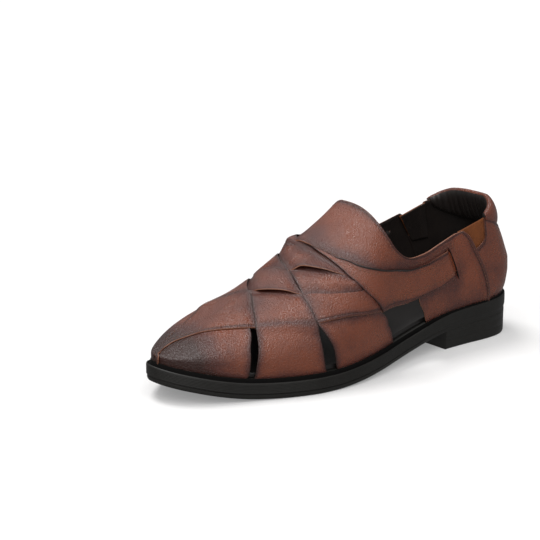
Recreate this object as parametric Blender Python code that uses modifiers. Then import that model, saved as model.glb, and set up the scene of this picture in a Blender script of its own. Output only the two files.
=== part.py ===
"""A man's Peshawari chappal for the left foot: a woven leather slip-on on a moulded rubber sole.

Frame: +Z up, the floor is Z = 0, the toe points along -Y and the outer side of the foot is +X.
The origin lies on the floor under the middle of the heel. The tables are in millimetres, and a
station is the distance forward from the back of the heel. A row of SECTIONS is one section of the
last, and everything that follows the foot is read from those rows.
"""
import math
from collections import namedtuple

import bmesh
import bpy
from mathutils import Vector

MM = 0.001                  # metres in a millimetre
HEEL_Y = 34.0               # origin to station 0
LATERAL, MEDIAL = 1, -1     # outer and inner side of the foot
GAP = 0.3                   # clearance between pieces that touch
WALL = 2.0                  # leather and lining of the upper
SOLE_THICKNESS = 11.0       # edge of the sole, ground side to rim
LIP = 2.6                   # the sole's raised seat above its rim
INSOLE_THICKNESS = 3.0
INSOLE_INSET = WALL + 0.5
LIFT_HEIGHT = 6.2           # rubber wearing piece under the heel
BREAST_STATION = 76.0       # front face of the heel
THROAT_STATION = 139.6      # middle of the upper's top edge over the instep
BELLY_SHARE = 0.18          # share of a rib below the widest point
LEAN_REACH = 62.0           # the heel's back curve fades out at this station
LOW_SHARES = (0.0, 0.06, 0.12, 0.18, 0.24)   # places on a rib that are the same in every section
UPPER_STEPS = 9             # steps of a rib from the last of those to its top
ROW_STEP = 0.5              # a section is drawn at every half row of the table
ROW_CLEARANCE = 0.12        # a regular section nearer than this to a named one is left out
PLAN_STEP = 0.02            # rows either side of a point, for the run of the outline there
NORMAL_STEP = 0.004         # rows or share either side of a point, for the surface's slope there
HALVINGS = 40               # steps of a search by halving
SHARP_ANGLE = math.radians(40)
WELD = 2e-5                 # points nearer than this, in metres, are one

Section = namedtuple(
    "Section",
    "station lateral medial under swell belly crown crown_x lateral_round medial_round",
)
# station; feather line half widths; underside of the sole; how far the side swells past the feather
# line (share) and how high above it (mm); height and sideways place of the crown; roundness of each
# side (under 1 is fuller). Behind the throat the crown is where the last's cone would close.
SECTIONS = [
    Section(3.0, 0.0, 0.0, 17.0, 0.13, 24.0, 165.0, 0.0, 1.00, 1.00),
    Section(5.0, 12.5, 12.5, 16.9, 0.13, 24.0, 165.0, 0.0, 1.00, 1.00),
    Section(11.5, 22.0, 22.0, 16.6, 0.13, 24.0, 165.0, 0.0, 1.00, 1.00),
    Section(22.0, 28.2, 28.2, 16.0, 0.13, 24.0, 165.0, 0.0, 1.00, 1.00),
    Section(36.0, 30.3, 30.0, 15.2, 0.12, 24.0, 165.0, 0.0, 1.00, 1.00),
    Section(54.0, 30.4, 29.6, 14.2, 0.12, 23.0, 163.0, 0.0, 1.00, 1.00),
    Section(74.0, 31.4, 28.4, 13.0, 0.11, 22.0, 156.0, -1.0, 1.00, 1.00),
    Section(94.0, 33.4, 26.8, 10.6, 0.09, 20.0, 144.0, -2.0, 0.92, 0.95),
    Section(114.0, 37.2, 26.0, 7.8, 0.07, 18.0, 130.0, -3.0, 0.80, 0.92),
    Section(132.0, 42.0, 27.6, 5.6, 0.05, 16.0, 115.0, -4.0, 0.70, 0.94),
    Section(150.0, 47.2, 31.4, 3.7, 0.04, 14.0, 101.5, -4.0, 0.74, 0.98),
    Section(168.0, 50.8, 37.2, 1.9, 0.03, 12.0, 89.0, -5.0, 0.88, 1.00),
    Section(186.0, 52.0, 43.0, 0.5, 0.02, 11.0, 77.0, -5.5, 0.96, 1.08),
    Section(204.0, 50.6, 46.2, 0.0, 0.02, 10.0, 66.5, -5.0, 1.00, 1.14),
    Section(220.0, 46.4, 46.4, 0.0, 0.02, 10.0, 58.6, -4.6, 1.00, 1.12),
    Section(236.0, 40.6, 43.6, 0.5, 0.02, 9.0, 52.0, -4.3, 1.00, 0.90),
    Section(252.0, 34.6, 38.2, 2.0, 0.02, 8.0, 45.8, -4.2, 0.95, 0.71),
    Section(267.0, 28.2, 31.4, 4.8, 0.02, 7.0, 40.8, -4.2, 0.90, 0.67),
    Section(279.0, 21.4, 24.2, 7.8, 0.02, 6.5, 36.4, -4.3, 0.85, 0.71),
    Section(288.0, 13.6, 16.8, 10.2, 0.02, 6.0, 32.8, -4.0, 0.80, 0.77),
    Section(293.5, 5.6, 9.4, 11.9, 0.02, 5.0, 31.4, -3.6, 0.75, 0.75),
    Section(295.2, -3.0, 3.0, 12.5, 0.02, 4.5, 30.4, -3.0, 0.75, 0.75),
]
TIP = len(SECTIONS) - 1

Knot = namedtuple("Knot", "at value")
# height above the floor: how far the back of the heel stands forward of the feather line
BACK_CURVE = [
    Knot(27.0, 1.5), Knot(36.0, -1.2), Knot(46.0, -2.6), Knot(56.0, -1.8),
    Knot(70.0, 5.0), Knot(84.0, 12.5), Knot(98.0, 18.5), Knot(120.0, 28.0),
]
# station: height of the leather's top edge, under the padded roll, past the gore and up to the throat
TOP_EDGE = [
    Knot(3.0, 76.0), Knot(12.0, 79.0), Knot(22.0, 83.5), Knot(30.0, 87.2), Knot(37.0, 89.6),
    Knot(50.0, 86.5), Knot(60.0, 83.8), Knot(71.0, 82.0), Knot(80.0, 79.3), Knot(89.0, 76.6),
    Knot(97.0, 74.4), Knot(105.0, 73.4), Knot(114.0, 73.2), Knot(120.0, 74.8), Knot(126.0, 78.5),
    Knot(131.0, 83.5), Knot(134.5, 90.0), Knot(136.8, 95.5), Knot(138.4, 101.0), Knot(139.3, 106.0),
    Knot(139.6, 112.0),
]
THROAT_ROWS = (128.5, 131.5, 134.5, 136.8, 138.4, 139.3, 139.6)

Opening = namedtuple("Opening", "name top toe_edge heel_edge")
# name; how far down the rib it starts, from the crown (0) to the feather line (1); stations of its
# edge towards the toe and towards the heel, at the top, half way and at the feather line
OPENINGS = [
    Opening("slot_toe", 0.41, (240.2, 245.5, 250.0), (238.0, 241.8, 246.0)),
    Opening("slot_ball", 0.56, (202.4, 201.0, 198.0), (200.2, 195.0, 190.0)),
    Opening("side_window", 0.79, (148.0, 139.5, 133.0), (109.0, 103.0, 96.0)),
]
OPENING_OVERRUN = 5.0       # how far a cutter runs below the feather line
OPENING_X = (7.0, 75.0)     # a cutter's reach across the shoe

Corner = namedtuple("Corner", "station height")
GORE_NOTCH = [
    Corner(64.0, 110.0), Corner(64.0, 84.0), Corner(49.0, 69.0), Corner(44.0, 71.0),
    Corner(39.0, 77.0), Corner(37.0, 88.0), Corner(36.4, 110.0),
]
GORE_FRONT = (Corner(50.0, 62.0), Corner(67.0, 81.6))    # lower and upper end of the front edge
GORE_BACK = (Corner(38.0, 62.0), Corner(35.4, 88.8))
GORE_THICKNESS = 1.2
GORE_STEPS = 8

Roll = namedtuple("Roll", "station low high thickness")
# padded roll round the top of the heel: a leaf in side view, thick at the back
ROLL = [
    Roll(3.0, 76.4, 100.6, 8.4), Roll(12.0, 79.4, 98.6, 8.0), Roll(22.0, 83.9, 94.0, 6.8),
    Roll(30.0, 87.6, 92.2, 4.6), Roll(34.6, 89.6, 91.4, 2.4),
]
ROLL_PROUD = 1.0            # how far it swells past the leather below
ROLL_LEAN = 1.5             # how much further its top stands out
ROLL_SIDES = 12
ROLL_STEPS = 11

Ring = namedtuple("Ring", "out base rise")
# the sole's edge from the ground up: distance out from the feather line, reference height, rise
SOLE_RINGS = [
    Ring(1.2, "under", 0.0), Ring(2.2, "under", 0.7), Ring(2.5, "under", 2.9), Ring(2.0, "under", 3.4),
    Ring(3.0, "under", 3.9), Ring(3.0, "rim", -0.7), Ring(2.4, "rim", 0.0), Ring(0.9, "rim", 0.0),
    Ring(0.6, "seat", 0.0),
]
HEEL_RINGS = [(1.9, 0.0), (1.5, 0.2), (1.3, 0.5), (1.6, 0.8), (2.2, 1.0)]       # out, share of height
LIFT_RINGS = [(1.5, 0.0), (2.1, 0.12), (2.0, 1.0)]

LEATHER_BROWN, RUBBER_BLACK = "#7A4A30", "#262524"
ELASTIC_TAN, LINING_BLACK = "#7A5426", "#241D1A"


def spline(before, start, end, after, share):
    """Catmull-Rom value between start and end."""
    slope = end - before
    bend = 2 * before - 5 * start + 4 * end - after
    twist = after - 3 * end + 3 * start - before
    return 0.5 * (2 * start + slope * share + bend * share ** 2 + twist * share ** 3)


def read_section(column, row):
    """A column of SECTIONS at a row index that may lie between two rows, or just past either end."""
    def value(index):
        if 0 <= index <= TIP:
            return getattr(SECTIONS[index], column)
        mirrored = -index if index < 0 else 2 * TIP - index
        if column in ("lateral", "medial"):
            other = "medial" if column == "lateral" else "lateral"
            return -getattr(SECTIONS[mirrored], other)
        return getattr(SECTIONS[mirrored], column)
    low = min(max(int(math.floor(row)), 0), TIP - 1)
    return spline(value(low - 1), value(low), value(low + 1), value(low + 2), row - low)


def read_knots(knots, at):
    """Straight reading of a knot table, held at its ends."""
    if at <= knots[0].at:
        return knots[0].value
    for low, high in zip(knots, knots[1:]):
        if at <= high.at:
            share = (at - low.at) / (high.at - low.at)
            return low.value + (high.value - low.value) * share
    return knots[-1].value


def solve(rule, target, low, high):
    """The argument between low and high where a rising rule reaches the target."""
    for _ in range(HALVINGS):
        middle = 0.5 * (low + high)
        if rule(middle) < target:
            low = middle
        else:
            high = middle
    return 0.5 * (low + high)


def row_at(station):
    """The row index of a station."""
    return solve(lambda row: read_section("station", row), station, 0.0, float(TIP))


def under_height(row):
    return max(read_section("under", row), 0.0)


def rim_height(row):
    return under_height(row) + SOLE_THICKNESS


def feather_height(row):
    return rim_height(row) + LIP


def heel_lean(station, height):
    """How far a point of the heel stands forward of its station."""
    return read_knots(BACK_CURVE, height) * max(1.0 - station / LEAN_REACH, 0.0)


def rib(row, share, side):
    """A point of the upper's outer face: share 0 at the feather line, 1 at the crown, in mm."""
    station = read_section("station", row)
    width = read_section("lateral" if side > 0 else "medial", row)
    belly_width = width * (1 + read_section("swell", row))
    foot = feather_height(row)
    belly = foot + read_section("belly", row)
    if share < BELLY_SHARE:
        turn = max(share, 0.0) / BELLY_SHARE * math.pi / 2
        across = width + (belly_width - width) * math.sin(turn)
        height = foot + (belly - foot) * (1 - math.cos(turn))
    else:
        turn = (share - BELLY_SHARE) / (1 - BELLY_SHARE) * math.pi / 2
        roundness = read_section("lateral_round" if side > 0 else "medial_round", row)
        middle = read_section("crown_x", row) * side
        across = middle + (belly_width - middle) * max(math.cos(turn), 0.0) ** roundness
        height = belly + (read_section("crown", row) - belly) * math.sin(turn) ** roundness
    forward = station + heel_lean(station, height)
    return Vector((side * across, HEEL_Y - forward, height))


def share_at_height(row, height, side):
    return solve(lambda share: rib(row, share, side).z, height, 0.0, 1.0)


def top_share(row, side):
    """Where a rib ends: the top edge behind the throat, the crown in front of it."""
    station = read_section("station", row)
    if station >= THROAT_STATION:
        return 1.0
    return share_at_height(row, read_knots(TOP_EDGE, station), side)


def feather_point(row, side):
    """Plan point of the feather line; past either end it runs on round to the other side."""
    if row < 0 or row > TIP:
        return feather_point(-row if row < 0 else 2 * TIP - row, -side)
    width = read_section("lateral" if side > 0 else "medial", row)
    return Vector((side * width, HEEL_Y - read_section("station", row)))


def edge_point(row, side, out, height):
    """A point beside the feather line, moved out square to it in plan."""
    run = feather_point(row + PLAN_STEP, side) - feather_point(row - PLAN_STEP, side)
    outward = Vector((-run.y, run.x)).normalized() * side
    place = feather_point(row, side) + outward * out
    return Vector((place.x, place.y, height))


def sample_rows(first, last, extra=()):
    """Rows from first to last: those two, the extra ones, and every ROW_STEP that is clear of them."""
    named = [first, last, *extra]
    regular = [step * ROW_STEP for step in range(int(TIP / ROW_STEP) + 1)]
    clear = [row for row in regular if all(abs(row - other) > ROW_CLEARANCE for other in named)]
    return sorted(named + [row for row in clear if first < row < last])


def new_object(name, mesh_source, material, collection):
    """Make an object of a bmesh in millimetres."""
    bmesh.ops.scale(mesh_source, vec=(MM, MM, MM), verts=mesh_source.verts)
    bmesh.ops.remove_doubles(mesh_source, verts=mesh_source.verts, dist=WELD)
    mesh = bpy.data.meshes.new(name)
    mesh_source.to_mesh(mesh)
    mesh_source.free()
    mesh.shade_smooth()
    mesh.set_sharp_from_angle(angle=SHARP_ANGLE)
    if material:
        mesh.materials.append(material)
    thing = bpy.data.objects.new(name, mesh)
    collection.objects.link(thing)
    return thing


def linear(channel):
    return channel / 12.92 if channel <= 0.04045 else ((channel + 0.055) / 1.055) ** 2.4


def principled(name, colour, roughness):
    material = bpy.data.materials.new(name)
    material.use_nodes = True
    shader = material.node_tree.nodes["Principled BSDF"]
    channels = [linear(int(colour[place:place + 2], 16) / 255) for place in (1, 3, 5)]
    shader.inputs["Base Color"].default_value = (*channels, 1.0)
    shader.inputs["Roughness"].default_value = roughness
    shader.inputs["Metallic"].default_value = 0.0
    return material


def add_face(mesh, corners, flip=False):
    """A face of the corners that differ, turned over if asked."""
    kept = []
    for corner in corners:
        if all((corner.co - other.co).length > WELD / MM for other in kept):
            kept.append(corner)
    if len(kept) > 2:
        mesh.faces.new(kept[::-1] if flip else kept)


def skin(mesh, columns, flip=False):
    """Quads between neighbouring columns of vertices."""
    for left, right in zip(columns, columns[1:]):
        for low in range(len(left) - 1):
            add_face(mesh, (left[low], left[low + 1], right[low + 1], right[low]), flip)


def thicken(thing, thickness):
    wall = thing.modifiers.new("wall", "SOLIDIFY")
    wall.thickness = thickness * MM
    wall.offset = -1.0
    wall.use_even_offset = True
    wall.use_quality_normals = True


def build_upper(material, collection):
    """The hollow leather wall, open underneath, at the collar and at the throat."""
    mesh = bmesh.new()
    throat = [row_at(station) for station in THROAT_ROWS]
    for side in (LATERAL, MEDIAL):
        columns = []
        for row in sample_rows(0.0, float(TIP), throat):
            start, top = LOW_SHARES[-1], top_share(row, side)
            climb = [start + (top - start) * step / UPPER_STEPS for step in range(1, UPPER_STEPS + 1)]
            columns.append([mesh.verts.new(rib(row, share, side)) for share in (*LOW_SHARES, *climb)])
        skin(mesh, columns, flip=side < 0)
    upper = new_object("upper", mesh, material, collection)
    thicken(upper, WALL)
    return upper


def prism(name, outline, side, collection):
    """A cutter: an outline in side view (y, z) drawn out across one side of the shoe."""
    mesh = bmesh.new()
    near, far = (reach * side for reach in OPENING_X)
    corners = [mesh.verts.new((near, place.y, place.z)) for place in outline]
    face = mesh.faces.new(corners)
    grown = bmesh.ops.extrude_face_region(mesh, geom=[face])
    moved = [item for item in grown["geom"] if isinstance(item, bmesh.types.BMVert)]
    bmesh.ops.translate(mesh, vec=(far - near, 0, 0), verts=moved)
    bmesh.ops.recalc_face_normals(mesh, faces=mesh.faces)
    cutter = new_object(name, mesh, None, collection)
    cutter.hide_render = True
    cutter.display_type = "WIRE"
    return cutter


def opening_outline(opening, side):
    """Side view of a slot or window, run on below the feather line."""
    levels = (opening.top, 0.5 * (opening.top + 1.0), 1.0)
    edges = []
    for stations in (opening.toe_edge, opening.heel_edge):
        edge = [rib(row_at(station), 1.0 - level, side) for station, level in zip(stations, levels)]
        edge.append(edge[-1] - Vector((0, 0, OPENING_OVERRUN)))
        edges.append(edge)
    return edges[0] + edges[1][::-1]


def corner_point(corner):
    """Side view of a corner given by station and height."""
    forward = corner.station + heel_lean(corner.station, corner.height)
    return Vector((0, HEEL_Y - forward, corner.height))


def cut(thing, cutter):
    boolean = thing.modifiers.new(cutter.name, "BOOLEAN")
    boolean.operation = "DIFFERENCE"
    boolean.solver = "EXACT"
    boolean.object = cutter


def open_upper(upper, cutters):
    """Slots, side windows and gore notches on both sides."""
    for side, word in ((LATERAL, "lateral"), (MEDIAL, "medial")):
        for opening in OPENINGS:
            cut(upper, prism(f"{opening.name}_{word}", opening_outline(opening, side), side, cutters))
        notch = [corner_point(corner) for corner in GORE_NOTCH]
        cut(upper, prism(f"gore_notch_{word}", notch, side, cutters))


def surface_normal(row, share, side):
    """Outward normal of the last."""
    ahead, behind = min(row + NORMAL_STEP, TIP), max(row - NORMAL_STEP, 0.0)
    along = rib(ahead, share, side) - rib(behind, share, side)
    above, below = min(share + NORMAL_STEP, 1.0), max(share - NORMAL_STEP, 0.0)
    upward = rib(row, above, side) - rib(row, below, side)
    return upward.cross(along).normalized() * side


def build_gore(name, side, material, collection):
    """Elastic let in behind its notch, clear of the leather's inner face."""
    mesh = bmesh.new()
    columns = []
    for across in range(GORE_STEPS + 1):
        column = []
        for up in range(GORE_STEPS + 1):
            rise, sweep = up / GORE_STEPS, across / GORE_STEPS
            front = [low + (high - low) * rise for low, high in zip(*GORE_FRONT)]
            back = [low + (high - low) * rise for low, high in zip(*GORE_BACK)]
            station, height = (here + (there - here) * sweep for here, there in zip(back, front))
            row = row_at(station)
            share = share_at_height(row, height, side)
            inward = surface_normal(row, share, side) * -(WALL + GAP)
            column.append(mesh.verts.new(rib(row, share, side) + inward))
        columns.append(column)
    skin(mesh, columns, flip=side < 0)
    gore = new_object(name, mesh, material, collection)
    thicken(gore, GORE_THICKNESS)
    return gore


def build_roll(material, collection):
    """The padded roll: an oval swept round the heel, thinning to a point at each end."""
    mesh = bmesh.new()
    end_row = row_at(ROLL[-1].station)
    path = [(end_row * step / ROLL_STEPS, MEDIAL) for step in range(ROLL_STEPS, 0, -1)]
    path += [(end_row * step / ROLL_STEPS, LATERAL) for step in range(ROLL_STEPS + 1)]
    columns = []
    for row, side in path:
        station = read_section("station", row)
        low, high, thickness = (
            read_knots([Knot(place.station, getattr(place, column)) for place in ROLL], station)
            for column in ("low", "high", "thickness")
        )
        column = []
        for step in range(ROLL_SIDES):
            turn = 2 * math.pi * step / ROLL_SIDES
            height = 0.5 * (low + high) + 0.5 * (high - low) * math.sin(turn)
            out = ROLL_PROUD + 0.5 * ROLL_LEAN * (1.0 + math.sin(turn))
            out += 0.5 * thickness * (math.cos(turn) - 1.0)
            on_last = rib(row, share_at_height(row, height, side), side)
            square = edge_point(row, side, 1.0, 0.0) - edge_point(row, side, 0.0, 0.0)
            column.append(mesh.verts.new(on_last + square * out))
        columns.append(column)
    skin(mesh, [column + column[:1] for column in columns], flip=True)
    mesh.faces.new(columns[0])
    mesh.faces.new(columns[-1][::-1])
    bmesh.ops.recalc_face_normals(mesh, faces=mesh.faces)
    return new_object("heel_collar", mesh, material, collection)


def ring_solid(name, rows, profile, material, collection):
    """A solid with the shoe's outline: profile(row) lists (out, height) from the bottom up."""
    mesh = bmesh.new()
    columns = {
        side: [
            [mesh.verts.new(edge_point(row, side, out, height)) for out, height in profile(row)]
            for row in rows
        ]
        for side in (LATERAL, MEDIAL)
    }
    for side in (LATERAL, MEDIAL):
        skin(mesh, columns[side], flip=side < 0)
    outer, inner = columns[LATERAL], columns[MEDIAL]
    for here in range(len(rows) - 1):
        for level in (0, -1):
            corners = (outer[here][level], outer[here + 1][level], inner[here + 1][level], inner[here][level])
            add_face(mesh, corners, flip=level == 0)
    if (outer[-1][0].co - inner[-1][0].co).length > WELD / MM:
        skin(mesh, [outer[-1], inner[-1]])
    bmesh.ops.remove_doubles(mesh, verts=mesh.verts, dist=WELD / MM)
    bmesh.ops.recalc_face_normals(mesh, faces=mesh.faces)
    return new_object(name, mesh, material, collection)


def sole_profile(row):
    references = {
        "under": under_height(row), "rim": rim_height(row), "seat": feather_height(row) - GAP,
    }
    return [(ring.out, references[ring.base] + ring.rise) for ring in SOLE_RINGS]


def heel_profile(row):
    low, high = LIFT_HEIGHT + GAP, under_height(row) - GAP
    return [(out, low + (high - low) * share) for out, share in HEEL_RINGS]


def lift_profile(row):
    return [(out, LIFT_HEIGHT * share) for out, share in LIFT_RINGS]


def insole_profile(row):
    low = feather_height(row)
    return [(-INSOLE_INSET, low), (-INSOLE_INSET, low + INSOLE_THICKNESS)]


def clear_scene():
    for thing in list(bpy.data.objects):
        bpy.data.objects.remove(thing, do_unlink=True)


def new_collection(name):
    collection = bpy.data.collections.new(name)
    bpy.context.scene.collection.children.link(collection)
    return collection


def main():
    clear_scene()
    shoe = new_collection("peshawari_chappal")
    cutters = new_collection("cutters")
    leather = principled("smooth_leather", LEATHER_BROWN, 0.42)
    rubber = principled("moulded_rubber", RUBBER_BLACK, 0.5)
    elastic = principled("elastic_webbing", ELASTIC_TAN, 0.8)
    lining = principled("sock_lining", LINING_BLACK, 0.5)

    all_rows = sample_rows(0.0, float(TIP))
    heel_rows = sample_rows(0.0, row_at(BREAST_STATION))
    ring_solid("outsole", all_rows, sole_profile, rubber, shoe)
    ring_solid("heel_block", heel_rows, heel_profile, rubber, shoe)
    ring_solid("heel_top_lift", heel_rows, lift_profile, rubber, shoe)
    ring_solid("insole", all_rows, insole_profile, lining, shoe)
    upper = build_upper(leather, shoe)
    open_upper(upper, cutters)
    build_gore("gore_lateral", LATERAL, elastic, shoe)
    build_gore("gore_medial", MEDIAL, elastic, shoe)
    build_roll(leather, shoe)


main()
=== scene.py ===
"""Looks of a man's Peshawari chappal for the left foot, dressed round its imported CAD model.

The upper is made as a shoemaker makes it. Each panel is drawn flat, in pattern coordinates, and then
lasted: a point of a pattern is a station (the distance forward from the back of the heel, in mm) and a
place (0 on the crown of the last, 1 on the outer feather line and -1 on the inner one). Lengths are in
millimetres until a mesh is finished, and the finished mesh is in metres in the frame of the CAD model.
"""
import logging
import math
from dataclasses import dataclass, field
from enum import Enum
from typing import Callable, Sequence

import bmesh
import bpy
import numpy as np
from mathutils import Euler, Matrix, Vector


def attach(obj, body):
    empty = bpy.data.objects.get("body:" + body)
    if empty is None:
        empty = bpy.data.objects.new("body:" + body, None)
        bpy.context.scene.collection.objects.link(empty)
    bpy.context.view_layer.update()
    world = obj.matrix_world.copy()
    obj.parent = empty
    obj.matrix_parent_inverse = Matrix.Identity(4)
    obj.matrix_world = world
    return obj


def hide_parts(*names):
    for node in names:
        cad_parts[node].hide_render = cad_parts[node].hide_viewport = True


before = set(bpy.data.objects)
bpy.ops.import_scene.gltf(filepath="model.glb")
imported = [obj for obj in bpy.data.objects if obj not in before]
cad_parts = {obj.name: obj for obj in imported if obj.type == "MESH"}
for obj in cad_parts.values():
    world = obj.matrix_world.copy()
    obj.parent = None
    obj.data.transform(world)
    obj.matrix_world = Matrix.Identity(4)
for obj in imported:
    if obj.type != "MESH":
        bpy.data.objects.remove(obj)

MM = 0.001
HEEL_Y = 34.0               # origin to station 0
LATERAL, MEDIAL = 1, -1     # outer and inner side of the foot
SIDE_NAME = {LATERAL: "lateral", MEDIAL: "medial"}
SOLE_THICKNESS = 11.0       # ground side to the rim of the outsole
LIP = 2.6                   # rim of the outsole to the feather line, where the leather turns under
LIFT_HEIGHT = 6.2           # the heel's top lift
GAP = 0.3                   # clearance of a piece from its seat
BREAST_STATION = 76.0       # front of the heel
THROAT_STATION = 139.6      # front of the opening
BELLY_SHARE = 0.18          # share of a rib that lies below its widest point
LEAN_REACH = 62.0           # how far forward the curve of the heel's back is felt
PLACE_SCALE = 80.0          # millimetres of leather that one unit of place covers, on average
TINY = 1e-9                 # shortest length that is divided by

log = logging.getLogger("shoe")
Array = np.ndarray
Line = Array                # points of a pattern line, one row each: station, place
Rule = Callable[[Array, Array], Array]  # a value for each station and place
Tree = bpy.types.NodeTree
Socket = bpy.types.NodeSocket
Object, Material = bpy.types.Object, bpy.types.Material
Colour = tuple[float, float, float, float]


# ---- last

@dataclass(frozen=True)
class Section:
    """One section of the last, in millimetres."""

    station: float
    lateral: float          # half width of the outer side at the feather line
    medial: float           # and of the inner side
    under: float            # height of the sole's ground side
    swell: float            # share by which the belly is wider than the feather line
    belly: float            # height of the widest point above the feather line
    crown: float            # height of the crown above the floor
    crown_x: float          # how far the crown lies towards the outer side
    lateral_round: float    # roundness of the outer side: 1 for an ellipse, fuller below it
    medial_round: float


SECTIONS = tuple(Section(*row) for row in (
    (3.0, 0.0, 0.0, 17.0, 0.13, 24.0, 165.0, 0.0, 1.00, 1.00),
    (5.0, 12.5, 12.5, 16.9, 0.13, 24.0, 165.0, 0.0, 1.00, 1.00),
    (11.5, 22.0, 22.0, 16.6, 0.13, 24.0, 165.0, 0.0, 1.00, 1.00),
    (22.0, 28.2, 28.2, 16.0, 0.13, 24.0, 165.0, 0.0, 1.00, 1.00),
    (36.0, 30.3, 30.0, 15.2, 0.12, 24.0, 165.0, 0.0, 1.00, 1.00),
    (54.0, 30.4, 29.6, 14.2, 0.12, 23.0, 163.0, 0.0, 1.00, 1.00),
    (74.0, 31.4, 28.4, 13.0, 0.11, 22.0, 156.0, -1.0, 1.00, 1.00),
    (94.0, 33.4, 26.8, 10.6, 0.09, 20.0, 144.0, -2.0, 0.92, 0.95),
    (114.0, 37.2, 26.0, 7.8, 0.07, 18.0, 130.0, -3.0, 0.80, 0.92),
    (132.0, 42.0, 27.6, 5.6, 0.05, 16.0, 115.0, -4.0, 0.70, 0.94),
    (150.0, 47.2, 31.4, 3.7, 0.04, 14.0, 101.5, -4.0, 0.74, 0.98),
    (168.0, 50.8, 37.2, 1.9, 0.03, 12.0, 89.0, -5.0, 0.88, 1.00),
    (186.0, 52.0, 43.0, 0.5, 0.02, 11.0, 77.0, -5.5, 0.96, 1.08),
    (204.0, 50.6, 46.2, 0.0, 0.02, 10.0, 66.5, -5.0, 1.00, 1.14),
    (220.0, 46.4, 46.4, 0.0, 0.02, 10.0, 58.6, -4.6, 1.00, 1.12),
    (236.0, 40.6, 43.6, 0.5, 0.02, 9.0, 52.0, -4.3, 1.00, 0.90),
    (252.0, 34.6, 38.2, 2.0, 0.02, 8.0, 45.8, -4.2, 0.95, 0.71),
    (267.0, 28.2, 31.4, 4.8, 0.02, 7.0, 40.8, -4.2, 0.90, 0.67),
    (279.0, 21.4, 24.2, 7.8, 0.02, 5.4, 36.4, -4.3, 0.85, 0.71),
    (288.0, 13.6, 16.8, 10.2, 0.02, 4.0, 32.7, -4.0, 0.80, 0.77),
    (293.5, 5.6, 9.4, 11.9, 0.02, 2.4, 30.7, -3.6, 0.75, 0.75),
    (295.2, -3.0, 3.0, 12.5, 0.02, 1.6, 29.0, -3.0, 0.75, 0.75),
))
BACK_CURVE = (          # height, how far the back of the heel stands forward of the feather line
    (27.0, 1.5), (36.0, -1.2), (46.0, -2.6), (56.0, -1.8), (70.0, 5.0), (84.0, 12.5), (98.0, 18.5),
    (120.0, 28.0),
)
TOP_EDGE = (            # station, height of the leather's top edge
    (3.0, 76.0), (12.0, 79.0), (22.0, 83.5), (30.0, 87.2), (37.0, 89.6), (50.0, 86.5), (60.0, 83.8),
    (71.0, 82.0), (80.0, 79.3), (89.0, 76.6), (97.0, 74.4), (105.0, 73.4), (114.0, 73.2),
    (120.0, 74.8), (126.0, 78.5), (131.0, 83.5), (134.5, 90.0), (136.8, 95.5), (138.4, 101.0),
    (139.3, 106.0), (139.6, 112.0),
)
INNER_RISE = (          # station, how much higher the leather's top edge runs on the inner side
    (50.0, 0.0), (75.0, 1.5), (95.0, 4.0), (112.0, 5.0), (122.0, 4.0), (131.0, 1.5), (136.0, 0.0),
)


def knots(table: Sequence[tuple[float, float]], at: Array) -> Array:
    """Straight reading of a two-column table, held at its ends."""
    places, values = zip(*table)
    return np.interp(at, places, values)


def ease(share: Array) -> Array:
    """Smooth step from 0 to 1, held outside."""
    held = np.clip(share, 0.0, 1.0)
    return held * held * (3.0 - 2.0 * held)


def unit(vectors: Array) -> Array:
    """Vectors of the same directions and a length of 1."""
    return vectors / np.maximum(np.linalg.norm(vectors, axis=-1, keepdims=True), TINY)


def spline(before: Array, start: Array, end: Array, after: Array, share: Array) -> Array:
    """Catmull-Rom curve through four values.

    Args:
        before: the first value.
        start: the second, where the curve starts.
        end: the third, where it ends.
        after: the fourth.
        share: shares of the way from `start` to `end`.

    Returns:
        The curve's values.
    """
    slope = end - before
    bend = 2 * before - 5 * start + 4 * end - after
    twist = after - 3 * end + 3 * start - before
    return 0.5 * (2 * start + slope * share + bend * share ** 2 + twist * share ** 3)


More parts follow.
